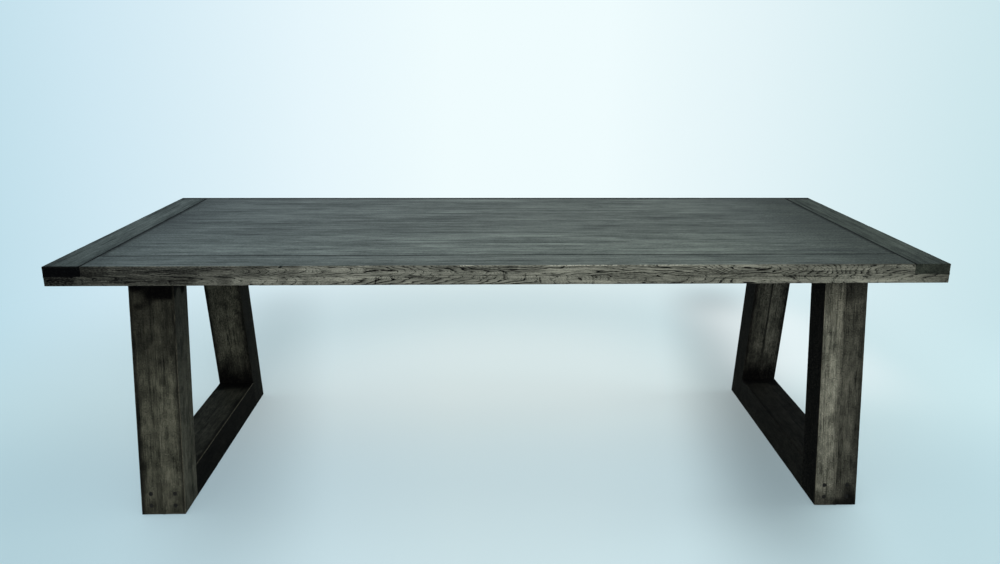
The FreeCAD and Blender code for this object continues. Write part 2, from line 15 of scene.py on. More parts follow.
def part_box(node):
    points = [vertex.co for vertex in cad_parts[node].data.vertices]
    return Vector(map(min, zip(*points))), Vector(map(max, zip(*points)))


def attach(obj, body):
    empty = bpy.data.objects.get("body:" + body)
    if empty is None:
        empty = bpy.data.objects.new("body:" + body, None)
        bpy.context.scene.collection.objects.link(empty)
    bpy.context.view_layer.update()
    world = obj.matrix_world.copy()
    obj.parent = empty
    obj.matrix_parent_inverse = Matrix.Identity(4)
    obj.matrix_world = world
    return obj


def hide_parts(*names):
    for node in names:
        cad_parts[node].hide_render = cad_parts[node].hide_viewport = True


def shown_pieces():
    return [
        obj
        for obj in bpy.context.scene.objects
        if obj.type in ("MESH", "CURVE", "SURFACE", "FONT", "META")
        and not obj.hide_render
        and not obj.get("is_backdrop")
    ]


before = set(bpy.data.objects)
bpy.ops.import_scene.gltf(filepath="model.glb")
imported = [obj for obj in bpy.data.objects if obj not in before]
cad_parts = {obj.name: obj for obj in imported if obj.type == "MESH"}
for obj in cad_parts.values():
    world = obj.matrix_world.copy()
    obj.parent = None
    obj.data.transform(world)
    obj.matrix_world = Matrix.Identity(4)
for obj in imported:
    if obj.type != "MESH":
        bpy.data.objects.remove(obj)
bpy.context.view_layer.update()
print("nodes in the packed model:", len(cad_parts))

# %% [markdown]
# ## The camera
# A camera is a matrix: where it stands, and which way its right, its top and its back
# point. These angles and this lens give the photographed view: from a little above the
# table, in front of its middle, and with the picture's centre slightly to one side, which
# the shift takes up.

# %% Stand the camera in front of the table
LENS = 29.353
SENSOR = 36.0
CAMERA_PLACE = Vector((-0.0453, -2.5365, 1.2945))
PITCH_DOWN = 0.2817
YAW = -0.0376
ROLL = 0.0063
SHIFT = (-0.0174, 0.0038)


def camera_axes(pitch, yaw, roll):
    """Gives the camera's right, up and forward: turned about Z, tipped down, then rolled."""
    right = Vector((math.cos(yaw), math.sin(yaw), 0))
    level = Vector((-math.sin(yaw), math.cos(yaw), 0))
    forward = level * math.cos(pitch) - Vector((0, 0, math.sin(pitch)))
    up = level * math.sin(pitch) + Vector((0, 0, math.cos(pitch)))
    rolled_right = right * math.cos(roll) + up * math.sin(roll)
    rolled_up = up * math.cos(roll) - right * math.sin(roll)
    return rolled_right, rolled_up, forward


camera = bpy.data.objects.new("camera", bpy.data.cameras.new("camera"))
bpy.context.scene.collection.objects.link(camera)
right, up, forward = camera_axes(PITCH_DOWN, YAW, ROLL)
turned = Matrix((right, up, -forward)).transposed().to_4x4()
camera.matrix_world = Matrix.Translation(CAMERA_PLACE) @ turned
camera.data.lens = LENS
camera.data.sensor_width = SENSOR
camera.data.shift_x, camera.data.shift_y = SHIFT
bpy.context.scene.camera = camera
print("camera at", tuple(round(c, 3) for c in camera.location))

# %% [markdown]
# ## Helpers for materials
# A material is a small graph of nodes. Writing one node needs three steps: make it, choose
# its options, and feed its sockets. These helpers do that in one call each, so that a
# material reads like a sum.

# %% Put nodes into a tree


def put(tree, kind, inputs=None, **options):
    """Adds a node, sets its options, and feeds its sockets with values or with links."""
    made = tree.nodes.new("ShaderNode" + kind)
    for name, value in options.items():
        setattr(made, name, value)
    for name, value in (inputs or {}).items():
        if isinstance(value, bpy.types.NodeSocket):
            tree.links.new(value, made.inputs[name])
        else:
            made.inputs[name].default_value = value
    return made


def calc(tree, operation, first, second=0.0, third=0.0, clamp=False):
    """Works out one sum of numbers or sockets, and gives the socket of its result."""
    made = put(tree, "Math", {0: first, 1: second, 2: third}, operation=operation)
    made.use_clamp = clamp
    return made.outputs[0]


def ease(tree, value, low, high):
    """Gives 0 below low, 1 above high, and an eased step between them."""
    made = put(tree, "MapRange", {"Value": value, "From Min": low, "From Max": high})
    made.interpolation_type = "SMOOTHSTEP"
    return made.outputs["Result"]


def stretch(tree, vector, scale):
    """Scales a vector along each axis, so that a pattern runs finer or coarser there."""
    return put(tree, "VectorMath", {0: vector, 1: scale}, operation="MULTIPLY").outputs[0]


def blend_colours(tree, share, first, second, way="MIX"):
    """Mixes two colours by a share from 0 to 1."""
    made = put(tree, "Mix", {0: share, 6: first, 7: second}, data_type="RGBA", blend_type=way)
    return made.outputs[2]


def mix_shaders(tree, share, first, second):
    """Mixes two surfaces by a share from 0 to 1."""
    return put(tree, "MixShader", {0: share, 1: first, 2: second}).outputs[0]


def times(tree, first, *others):
    """Multiplies numbers or sockets with each other."""
    for other in others:
        first = calc(tree, "MULTIPLY", first, other)
    return first


def rest_of(tree, value):
    """Gives what a value lacks to 1."""
    return calc(tree, "SUBTRACT", 1.0, value)


def length(tree, vector):
    """Gives a vector's length."""
    return put(tree, "VectorMath", {0: vector}, operation="LENGTH").outputs["Value"]


def object_place(tree):
    """Gives each point's place in its own object, in metres."""
    return put(tree, "TexCoord").outputs["Object"]


def new_material(name):
    """Starts an empty material and gives it with its tree and its surface socket."""
    material = bpy.data.materials.new(name)
    material.use_nodes = True
    tree = material.node_tree
    tree.nodes.clear()
    output = tree.nodes.new("ShaderNodeOutputMaterial")
    return material, tree, output.inputs["Surface"]


def colour(red, green, blue):
    """Turns a colour as a painter's card gives it, 0 to 255, into linear light."""
    card = np.array([red, green, blue]) / 255
    linear = np.where(card <= 0.04045, card / 12.92, ((card + 0.055) / 1.055) ** 2.4)
    return (*linear.tolist(), 1.0)


print("helpers ready")

# %% [markdown]
# ## The studio
# The table stands on a pale sheet that sweeps up behind it with no horizon. Here the floor
# is a wide disc that turns, away from the table, into the colour of the world, so that no
# edge shows from any side. Those pale colours are only for the camera and for reflections:
# they light nothing.
# Near the table the floor is partly a plain matt surface, which keeps the soft shadow. Its colour
# there has painted shade, darker in front of the table, and painted light, brighter about it. A
# strip of painted shadow lies inside each frame and a spot of painted light behind the right one,
# where the photograph has them. From below the floor can't be seen, so that the underside can.

# %% Choose the pale colours
REST = colour(203, 228, 237)
BACKDROP = (
    (-0.97, REST), (-0.56, colour(186, 219, 231)), (-0.42, colour(206, 231, 242)),
    (-0.2, colour(230, 246, 252)), (-0.05, colour(239, 252, 254)), (0.14, colour(239, 252, 254)),
    (0.3, colour(228, 244, 248)), (0.56, colour(201, 228, 234)), (0.97, REST))
FORWARD_FADE = (0.0, 0.25)
START_FADE = (0.4, 0.9)


def backdrop_colour(tree, sideways, away):
    """Picks the backdrop's colour by how far to the side a level direction points, -1 to 1.
    Behind the camera, and close to where the directions start, it is the colour at rest."""
    reach = length(tree, put(tree, "CombineXYZ", {"X": sideways, "Y": away}).outputs[0])
    turn = calc(tree, "DIVIDE", sideways, reach)
    forward = ease(tree, calc(tree, "DIVIDE", away, reach), *FORWARD_FADE)
    ramp = put(tree, "ValToRGB", {0: calc(tree, "MULTIPLY_ADD", turn, 0.5, 0.5)})
    for _ in BACKDROP[2:]:
        ramp.color_ramp.elements.new(0.5)
    for element, (place, tone) in zip(ramp.color_ramp.elements, BACKDROP):
        element.position = 0.5 + 0.5 * place
        element.color = tone
    shown = times(tree, forward, ease(tree, reach, *START_FADE))
    return blend_colours(tree, shown, REST, ramp.outputs[0])


def picture_rays(tree):
    """Gives 1 for rays that carry a picture: from the camera, off gloss, or through glass."""
    path = put(tree, "LightPath")
    sharp = calc(tree, "MAXIMUM", path.outputs["Is Camera Ray"], path.outputs["Is Glossy Ray"])
    return calc(tree, "MAXIMUM", sharp, path.outputs["Is Transmission Ray"])


print("backdrop tones:", len(BACKDROP))

# %% Fill the world with soft light
LIGHT_LOW = 1.3
LIGHT_HIGH = 0.45
LIGHT_FADE = (0.0, 0.8)
LIGHT_TINT = colour(232, 242, 250)

world = bpy.data.worlds.new("studio")
world.use_nodes = True
bpy.context.scene.world = world
tree = world.node_tree
tree.nodes.clear()
direction = put(tree, "SeparateXYZ", {0: put(tree, "TexCoord").outputs["Generated"]}).outputs
seen_colour = backdrop_colour(tree, direction["X"], direction["Y"])
seen = put(tree, "Background", {"Color": seen_colour, "Strength": 1.0}).outputs[0]
upward = ease(tree, direction["Z"], *LIGHT_FADE)
strength = calc(tree, "MULTIPLY_ADD", upward, LIGHT_HIGH - LIGHT_LOW, LIGHT_LOW)
lighting = put(tree, "Background", {"Color": LIGHT_TINT, "Strength": strength}).outputs[0]
world_output = tree.nodes.new("ShaderNodeOutputWorld")
mixed = mix_shaders(tree, picture_rays(tree), lighting, seen)
tree.links.new(mixed, world_output.inputs["Surface"])
print("world light from", LIGHT_LOW, "to", LIGHT_HIGH)

# %% Lay the floor
FLOOR_RADIUS = 40.0
FLOOR_RINGS = 6
FLOOR_SPOKES = 64
WHITE = (1.0, 1.0, 1.0, 1.0)
# Painted shade: the floor is darker in a pool in front of the table.
SHADE_POOL_TINT = (0.712, 0.806, 0.888, 1.0)
SHADE_POOL_SHAPE = (0.35, 1.0, 1.0)
SHADE_POOL_SHIFT = (0.0, 1.5, 0.0)
SHADE_POOL_FADE = (1.2, 2.0)
# Painted light: the floor is brighter in a pool about the table.
LIGHT_POOL_TINT = (1.3, 1.22, 1.18, 1.0)
LIGHT_POOL_FADE = (0.8, 1.6)
MATT_TINT = (0.771, 0.954, 0.951, 1.0)
MATT_FADE = (1.4, 3.0)
MATT_SHARE = 0.64
BOUNCE_TINT = colour(150, 158, 162)
# Painted shadow: a soft dark strip on the floor inside each frame.
SHADOW_STRIP_TINT = colour(60, 72, 78)
SHADOW_STRIP_SLANT = -0.17
SHADOW_STRIP_ACROSS = (0.88, 0.0, 0.33)
SHADOW_STRIP_BACK = (0.55, 0.9, 1.6)
SHADOW_STRIP_SIDE = (-2.4, 0.9)
SHADOW_STRIP_SHARE = 0.43
# Painted light: a pale spot on the floor behind the right frame.
LIGHT_SPOT_TINT = colour(246, 254, 255)
LIGHT_SPOT_ACROSS = (1.3, 0.1, 0.5)
LIGHT_SPOT_BACK = (1.0, 0.2, 0.9)
LIGHT_SPOT_SHARE = 0.55


def disc_mesh(name, radius, rings, spokes):
    """Makes a flat disc: points at each ring's radius and each spoke's angle."""
    angle = np.linspace(0, 2 * np.pi, spokes, endpoint=False)
    reach = radius * np.linspace(0, 1, rings + 1)[1:, None]
    rim = np.stack([reach * np.cos(angle), reach * np.sin(angle), np.zeros((rings, spokes))], -1)
    points = np.vstack([[[0, 0, 0]], rim.reshape(-1, 3)])
    number = np.arange(rings * spokes).reshape(rings, spokes) + 1
    following = np.roll(number, -1, axis=1)
    middle = np.stack([np.zeros(spokes, int), number[0], following[0]], -1)
    outer = np.stack([number[:-1], number[1:], following[1:], following[:-1]], -1)
    mesh = bpy.data.meshes.new(name)
    mesh.from_pydata(points.tolist(), [], middle.tolist() + outer.reshape(-1, 4).tolist())
    return mesh


def band(tree, value, middle, inner, outer):
    """Gives 1 within inner of a middle value, and eases to 0 at outer."""
    off = calc(tree, "ABSOLUTE", calc(tree, "SUBTRACT", value, middle))
    return rest_of(tree, ease(tree, off, inner, outer))


def plain(tree, kind, tone):
    """Gives a surface of one colour: Emission glows evenly, BsdfDiffuse is matt."""
    return put(tree, kind, {"Color": tone}).outputs[0]


def painted_floor_pools(tree, place):
    """Mixes the floor's painted shade, darker in a pool in front of the table, with its painted light,
    brighter in a pool about the table.
    """
    shifted = put(tree, "VectorMath", {0: place, 1: SHADE_POOL_SHAPE, 2: SHADE_POOL_SHIFT}, operation="MULTIPLY_ADD")
    pool_reach = length(tree, shifted.outputs[0])
    pool = blend_colours(tree, ease(tree, pool_reach, *SHADE_POOL_FADE), SHADE_POOL_TINT, WHITE)
    lift = blend_colours(tree, ease(tree, length(tree, place), *LIGHT_POOL_FADE), LIGHT_POOL_TINT, WHITE)
    return blend_colours(tree, 1.0, pool, lift, "MULTIPLY")


def paint_floor_shadow_and_light(tree, seen, x, y):
    """Paints the strips of painted shadow and the spot of painted light over what is seen of the floor."""
    slanted = calc(tree, "MULTIPLY_ADD", y, SHADOW_STRIP_SLANT, calc(tree, "ABSOLUTE", x))
    strip = times(tree, band(tree, slanted, *SHADOW_STRIP_ACROSS), band(tree, y, *SHADOW_STRIP_BACK),
                  ease(tree, x, *SHADOW_STRIP_SIDE), SHADOW_STRIP_SHARE)
    seen = mix_shaders(tree, strip, seen, plain(tree, "Emission", SHADOW_STRIP_TINT))
    spot = times(tree, band(tree, x, *LIGHT_SPOT_ACROSS), band(tree, y, *LIGHT_SPOT_BACK), LIGHT_SPOT_SHARE)
    return mix_shaders(tree, spot, seen, plain(tree, "Emission", LIGHT_SPOT_TINT))


def floor_surface(tree):
    """Builds one floor for pictures and one for other light, and nothing from below."""
    place = object_place(tree)
    parts = put(tree, "SeparateXYZ", {0: place}).outputs
    x, y = parts["X"], parts["Y"]
    far = backdrop_colour(tree, calc(tree, "SUBTRACT", x, CAMERA_PLACE.x),
                          calc(tree, "SUBTRACT", y, CAMERA_PLACE.y))
    tinted = blend_colours(tree, 1.0, far, painted_floor_pools(tree, place), "MULTIPLY")
    near = times(tree, rest_of(tree, ease(tree, length(tree, place), *MATT_FADE)), MATT_SHARE)
    seen = mix_shaders(tree, near, plain(tree, "Emission", tinted), plain(tree, "BsdfDiffuse", MATT_TINT))
    seen = paint_floor_shadow_and_light(tree, seen, x, y)
    both = mix_shaders(tree, picture_rays(tree), plain(tree, "BsdfDiffuse", BOUNCE_TINT), seen)
    from_below = times(tree, put(tree, "NewGeometry").outputs["Backfacing"],
                       put(tree, "LightPath").outputs["Is Camera Ray"])
    return mix_shaders(tree, from_below, both, put(tree, "BsdfTransparent").outputs[0])


floor = bpy.data.objects.new("floor", disc_mesh("floor", FLOOR_RADIUS, FLOOR_RINGS, FLOOR_SPOKES))
bpy.context.scene.collection.objects.link(floor)
floor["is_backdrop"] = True
material, tree, surface = new_material("pale_floor")
tree.links.new(floor_surface(tree), surface)
floor.data.materials.append(material)
print("floor radius", FLOOR_RADIUS)

# %% [markdown]
# ## The lamps
# In a white studio most light comes from the walls, so the world above is brightest near
# the horizon. That light slips in under the top and lights the floor there, and each frame
# shades the floor on its inner side, where a strip of painted shadow deepens that shade. One
# soft lamp in front models the legs, and one at each end, the right one stronger, draws the
# frames' shadows inwards.

# %% Hang the lamps
LAMPS = {"front": ((0.0, -4.4, 1.7), (0, 0, 0.5), 2.4, 90, (1.0, 0.98, 0.93)),
         "left": ((-4.2, 0.2, 0.9), (0, 0, 0.2), 1.6, 18, (0.95, 0.985, 1.0)),
         "right": ((4.2, 0.2, 0.9), (0, 0, 0.2), 1.6, 55, (0.95, 0.985, 1.0))}


def area_lamp(name, place, target, size, power, tint):
    """Hangs a square lamp at a place and turns it towards a target."""
    lamp = bpy.data.objects.new(name, bpy.data.lights.new(name, "AREA"))
    lamp.data.size = size
    lamp.data.energy = power
    lamp.data.color = tint
    aim = (Vector(target) - Vector(place)).to_track_quat("-Z", "Y")
    lamp.matrix_world = Matrix.Translation(place) @ aim.to_matrix().to_4x4()
    lamp.visible_camera = False
    bpy.context.scene.collection.objects.link(lamp)


for name, values in LAMPS.items():
    area_lamp(f"lamp_{name}", *values)
print("lamps:", len(LAMPS))

# %% [markdown]
# ## Noise from whole numbers
# Wood is never quite regular. This noise gives each cell of space a fixed random number and
# blends smoothly between the cells, for all points at once. It needs no random generator,
# so the table comes out the same every time.

# %% Make repeatable noise
MIXERS = np.array([73856093, 19349663, 83492791])
SEED_MIXER = 9176263
SCRAMBLERS = ((15, 2246822519), (13, 3266489917))
LAST_SHIFT = 16
KEPT_BITS = 0xFFFFFF


def cell_random(cell, seed):
    """Scrambles each row of three whole numbers into one fixed number from 0 to 1."""
    mixed = cell @ MIXERS + seed * SEED_MIXER
    for shift, scrambler in SCRAMBLERS:
        mixed = (mixed ^ (mixed >> shift)) * scrambler
    return ((mixed ^ (mixed >> LAST_SHIFT)) & KEPT_BITS) / KEPT_BITS


def noise(points, size, seed):
    """Blends the random numbers at the 8 corners of each point's cell, giving -1 to 1."""
    place = points / np.asarray(size)
    cell = np.floor(place).astype(np.int64)
    part = place - cell
    eased = part * part * (3 - 2 * part)
    total = np.zeros(len(points))
    for corner in np.ndindex(2, 2, 2):
        weight = np.prod(np.where(corner, eased, 1 - eased), axis=1)
        total += weight * cell_random(cell + np.array(corner), seed)
    return 2 * total - 1


def step_up(value, low, high):
    """Gives 0 below low, 1 above high, and an eased step between them."""
    part = np.clip((value - low) / (high - low), 0, 1)
    return part * part * (3 - 2 * part)


print("noise check:", np.round(noise(np.array([[0.3, 0.2, 0.7]]), 1.0, 1), 4))

# %% [markdown]
# ## A board as the skin of a lattice
# Every timber here starts as a box. Its surface could be a cube with modifiers, but then
# the points fall where the modifiers put them. Here the points are the outside of a
# lattice whose lines are close together only where something happens: at the arrises and
# round the plug holes. A ball that rolls inside the box rounds the edges.

# %% Space the lines and build the skin
HOLE_RINGS = 5
ARC_STEPS = np.array([0, 0.586, 1])


def lines(low, high, step, arris, centres=(), reach=0.0):
    """Spaces the lattice along one axis: evenly, but closer at the ends and at each hole."""
    fixed = [low + arris * ARC_STEPS, high - arris * ARC_STEPS]
    fixed += [centre + reach * np.linspace(-1, 1, 2 * HOLE_RINGS + 1) for centre in centres]
    fixed = np.unique(np.round(np.concatenate(fixed), 6))
    parts = np.maximum(np.ceil(np.diff(fixed) / step - 0.01), 1).astype(int)
    spans = [np.linspace(a, b, n, endpoint=False) for a, b, n in zip(fixed[:-1], fixed[1:], parts)]
    return np.append(np.concatenate(spans), fixed[-1])


def grid_quads(number, flip):
    """Joins a grid of numbered points into quads, turned round where flip is true."""
    quads = np.stack([number[:-1, :-1], number[1:, :-1], number[1:, 1:], number[:-1, 1:]], -1)
    quads = quads.reshape(-1, 4)
    return quads[:, ::-1] if flip else quads


def box_skin(axes):
    """Gives the points on the outside of a box lattice and the quads that face outwards."""
    shape = tuple(len(axis) for axis in axes)
    outside = np.ones(shape, bool)
    outside[1:-1, 1:-1, 1:-1] = False
    number = np.full(shape, -1)
    number[outside] = np.arange(outside.sum())
    places = np.nonzero(outside)
    points = np.stack([axis[place] for axis, place in zip(axes, places)], -1)
    quads = [grid_quads(number[end], end == 0) for end in (0, -1)]
    quads += [grid_quads(number[:, end], end == -1) for end in (0, -1)]
    quads += [grid_quads(number[:, :, end], end == 0) for end in (0, -1)]
    return points, np.vstack(quads)


def roll_edges(points, low, high, radius):
    """Rounds a box: each point moves onto a ball of its own radius that rolls inside."""
    inner = np.clip(points, low + radius[:, None], high - radius[:, None])
    away = points - inner
    outward = away / np.linalg.norm(away, axis=1, keepdims=True)
    return inner + outward * radius[:, None], outward


print("lattice ready, lines about a 2 mm arris:", len(lines(0, 0.1, 0.01, 0.002)))

# %% [markdown]
# ## Round holes in a square lattice
# The plugs sit in round holes, and the bolts in round recesses, but the lattice is square.
# About each hole the square rings of lattice points are pulled onto circles, and the inner
# ones are pushed into the wood. So the rim is truly round, and the skin stays one piece.

# %% Sink a hole
HOLE_REACH = 1.7
HOLE_EASE = 0.0006


def sink_hole(points, flat, side, centre, radius, depth):
    """Pulls the square rings about a centre onto circles, and pushes the inner ones in. The
    flat places follow sideways, so that the pattern isn't pulled.

    On a unit square, (u, v) goes to (u sqrt(1 - v v / 2), v sqrt(1 - u u / 2)), which is a
    unit circle on the square's rim."""
    axis, way = SIDES[side]
    plane = [index for index in range(3) if index != axis]
    place = (flat[:, plane] - np.array(centre)) / (radius * HOLE_REACH) * HOLE_RINGS
    ring = np.abs(place).max(axis=1)
    face = flat[:, axis].max() if way > 0 else flat[:, axis].min()
    inside = (ring < HOLE_RINGS - 0.5) & (np.abs(flat[:, axis] - face) < 1e-6)
    u, v = (place[inside] / np.maximum(ring[inside], 1e-6)[:, None]).T
    round_place = np.stack([u * np.sqrt(1 - v * v / 2), v * np.sqrt(1 - u * u / 2)], -1)
    steps = np.arange(HOLE_RINGS)
    sizes = [0, 0.5 * radius, 0.985 * radius, radius, radius + HOLE_EASE]
    depths = [depth, depth, depth, HOLE_EASE, 0]
    spread = np.interp(ring[inside], steps, sizes)
    points[np.ix_(inside, plane)] = np.array(centre) + round_place * spread[:, None]
    points[inside, axis] -= way * np.interp(ring[inside], steps, depths)
    flat[np.ix_(inside, plane)] = points[np.ix_(inside, plane)]


print("a hole's patch is", 2 * HOLE_RINGS, "cells wide")

# %% [markdown]
# ## Year rings
# On a board, the lines of the grain are the tree's year rings, cut by the saw. A ring is a
# layer that lies at a steady depth under the face. The tree's taper makes it climb along
# the board, and its roundness bows it through the thickness. Where a slowly climbing,
# bowed layer meets a face, it draws the arches that joiners call cathedrals. The count of
# rings at each point is kept as an attribute, and both the mesh and the material use it.

# %% Count the rings at each point
STRAIGHT = {"at": (-1, 1), "climb": (0.004, 0.006), "height": (0, 0), "bow": 5.0,
            "spacing": 0.0026, "wobble": 1.0, "splits": 0.0}
TABLE_STEPS = 500
WOBBLES = ((1.1, (0.16, 0.03, 0.03)), (0.35, (0.035, 0.009, 0.009)))
LEAST_PITCH = 20
SPLIT_REACH = 0.0016
SPLIT_STRETCH = (0.045, 0.02, 0.012)


def plan(**changes):
    """Gives the plan of a straight-grained board with some of its values changed."""
    return {**STRAIGHT, **changes}


def year_rings(grain, growth, seed):
    """Counts rings: depth, plus the climb added up along the board, plus the bow, squared."""
    along, depth, through = grain.T
    table = np.linspace(along.min(), along.max(), TABLE_STEPS)
    climbed = np.cumsum(np.interp(table, growth["at"], growth["climb"])) * (table[1] - table[0])
    height = np.interp(along, growth["at"], growth["height"])
    bowed = growth["bow"] * (through - height) ** 2
    rings = (depth + np.interp(along, table, climbed) + bowed) / growth["spacing"]
    for number, (share, size) in enumerate(WOBBLES):
        rings += growth["wobble"] * share * noise(grain, size, seed + number)
    slopes = np.stack([np.interp(along, growth["at"], growth["climb"]), np.ones(len(along)),
                       2 * growth["bow"] * (through - height)], -1) / growth["spacing"]
    return rings, slopes


def ring_pitch(slopes, outward):
    """Gives rings per metre as the surface shows them: the slope without its outward part."""
    across = np.sum(slopes * outward, axis=1, keepdims=True)
    return np.maximum(np.linalg.norm(slopes - across * outward, axis=1), LEAST_PITCH)


def splits(rings, pitch, grain, share, seed):
    """Opens a share of the ring lines, a little to each side, along broken stretches."""
    ring = np.round(rings)
    near = np.clip(1 - np.abs(rings - ring) / pitch / SPLIT_REACH, 0, 1)
    number = np.stack([ring, ring * 0, ring * 0], -1).astype(np.int64)
    chosen = cell_random(number, seed) < share
    broken = step_up(noise(grain, SPLIT_STRETCH, seed + 2), -0.25, 0.2)
    return near * chosen * broken


print("growth plan:", STRAIGHT)

# %% [markdown]
# ## Stains and painted shade
# The stain on this table isn't even. It gathered at seams and on end grain, and it was
# rubbed off where hands reach. Painted shade is laid with the same functions: under the top,
# in the corners over the rails, on faces turned from the light, and towards both ends of the
# top and its front edge. A stain here is a function that tells how dark each point of a
# timber is, from 0 to 1. Stains are built from one simple kind, which fades with the
# distance from a side of the timber, and two ways to combine them.

# %% Mix the stains
SIDES = {"-x": (0, -1), "+x": (0, 1), "-y": (1, -1), "+y": (1, 1), "-z": (2, -1), "+z": (2, 1)}


def side_gap(flat, low, high, side):
    """Gives each point's distance from one side of its box."""
    axis, way = SIDES[side]
    return high[axis] - flat[:, axis] if way > 0 else flat[:, axis] - low[axis]


def shade(side, reach, depth, full=0.0, ragged=0.4):
    """Makes a darkening, for stain and for painted shade alike: full depth up to one distance from a side,
    then fading to its reach.
    """
    def stain(flat, low, high):
        gap = side_gap(flat, low, high, side) * (1 + ragged * noise(flat, (0.03, 0.03, 0.03), 3))
        return depth * (1 - step_up(gap, full, reach))
    return stain


def where_both(first, second):
    """Makes a darkening that shows only where two darkenings meet."""
    def stain(flat, low, high):
        return first(flat, low, high) * second(flat, low, high)
    return stain


ON_TOP = shade("+z", 0.003, 1.0, 0.001)
ON_FRONT = shade("-y", 0.003, 1.0, 0.001)


def only(face, *values):
    """Makes a stain that shows only on one face."""
    return where_both(shade(*values), face)


def deepest(stains_and_shade, flat, low, high):
    """Gives the darkest of several darkenings at each point, stain and painted shade alike."""
    return np.max([stain(flat, low, high) for stain in stains_and_shade] + [np.zeros(len(flat))], axis=0)


print("sides:", list(SIDES))

# %% [markdown]
# ## Scars
# Some marks are single: a shake that opened along the grain, or a dent in the arris. Each
# is a lens, given by its middle and half sizes on the board's face, pressed in and dark.

# %% Press in a scar
SCAR_REACH = (0.001, 0.006)


def scar_depth(grain, scars):
    """Gives 1 in the middle of a scar and 0 at its rim: one minus the squared distances."""
    total = np.zeros(len(grain))
    for along, through, half_length, half_height, tilt in scars:
        run = (grain[:, 0] - along) / half_length
        rise = (grain[:, 2] - through - tilt * (grain[:, 0] - along)) / half_height
        lens = np.clip(1 - run ** 2 - rise ** 2, 0, 1)
        total = np.maximum(total, lens * (1 - step_up(grain[:, 1], *SCAR_REACH)))
    return total


print("scars are lenses")

# %% [markdown]
# ## One timber
# This function makes any of the table's timbers. It builds the skin, rounds the arrises
# unevenly as wear does, sinks the holes, opens splits and scars, and lays a slight wave
# over the faces that show. Sides that meet another timber stay flat and sharp. It only ever
# takes wood away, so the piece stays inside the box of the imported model.

# %% Store what the material reads
MEETING = 0.2
made_timbers = []


def add_attribute(mesh, name, kind, values):
    """Stores one value, or one vector, for each point of a mesh."""
    field = "vector" if kind == "FLOAT_VECTOR" else "value"
    data = mesh.attributes.new(name, kind, "POINT").data
    data.foreach_set(field, np.asarray(values, np.float32).ravel())


def quad_mesh(name, points, quads):
    """Fills a mesh with points and quads, shaded smooth."""
    mesh = bpy.data.meshes.new(name)
    mesh.vertices.add(len(points))
    mesh.vertices.foreach_set("co", np.asarray(points, np.float32).ravel())
    mesh.loops.add(quads.size)
    mesh.loops.foreach_set("vertex_index", np.asarray(quads, np.int32).ravel())
    mesh.polygons.add(len(quads))
    mesh.polygons.foreach_set("loop_start", np.arange(0, quads.size, 4, dtype=np.int32))
    mesh.update(calc_edges=True)
    mesh.validate()
    mesh.shade_smooth()
    return mesh


def add_piece(mesh, nodes):
    """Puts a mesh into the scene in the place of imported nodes."""
    piece = bpy.data.objects.new(mesh.name, mesh)
    bpy.context.scene.collection.objects.link(piece)
    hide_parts(*nodes)
    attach(piece, "root")
    return piece


def side_share(points, low, high, shares, reach):
    """Gives the least share of the sides that a point lies close to, or 1 in the open."""
    share = np.ones(len(points))
    for side, value in shares.items():
        near = side_gap(points, low, high, side) < reach
        share = np.where(near, np.minimum(share, value), share)
    return share


print("a side that meets another keeps", MEETING, "of the arris")

# %% Make a timber from its box
FACE_WAVE = 0.00018
SPLIT_DEPTH = 0.0009
SCAR_DEPTH = 0.003
FACE_FADE = (0.0005, 0.004)
RUB_FADE = (0.0006, 0.0042)
END_DARK = 0.5
PATTERN_SHIFT = np.array([3.7, 1.3, 2.1])


def lattice_axes(low, high, steps, arris, holes):
    """Spaces the lattice's lines along the three axes, closer at the holes."""
    axes = []
    hole_axis = SIDES[holes[0]["side"]][0] if holes else None
    for axis in range(3):
        centres, reach = (), 0.0
        if holes and axis != hole_axis:
            plane = [index for index in range(3) if index != hole_axis]
            centres = sorted({round(hole["centre"][plane.index(axis)], 6) for hole in holes})
            reach = holes[0]["radius"] * HOLE_REACH
        axes.append(lines(low[axis], high[axis], steps[axis], arris, centres, reach))
    return axes


def worn_skin(flat, low, high, share, arris, chips, seed):
    """Rounds the arrises unevenly, and less where a side meets another timber."""
    worn = 0.7 + 0.3 * noise(flat, 0.03, seed + 5)
    worn += chips * step_up(noise(flat, (0.011, 0.006, 0.006), seed + 6), 0.1, 0.7)
    return roll_edges(flat, low, high, arris * share * worn)


def dark_and_rubbed(flat, low, high, ends, scarred, free, stains_and_shade, rubs, wear, seed):
    """Gives how dark each point is, and how far its stain is rubbed off."""
    dark = np.maximum(np.where(ends, END_DARK, 0.0), deepest(stains_and_shade, flat, low, high))
    dark = np.maximum(dark, step_up(scarred, 0.0, 0.35))
    near_edges = np.sort(np.minimum(flat - low, high - flat), axis=1)[:, 1]
    patchy = step_up(noise(flat, (0.05, 0.05, 0.05), seed + 13), -0.3, 0.3)
    rubbed = wear * (1 - step_up(near_edges, *RUB_FADE)) * patchy * free * (1 - 0.8 * dark)
    return dark, np.maximum(rubbed, deepest(rubs, flat, low, high))


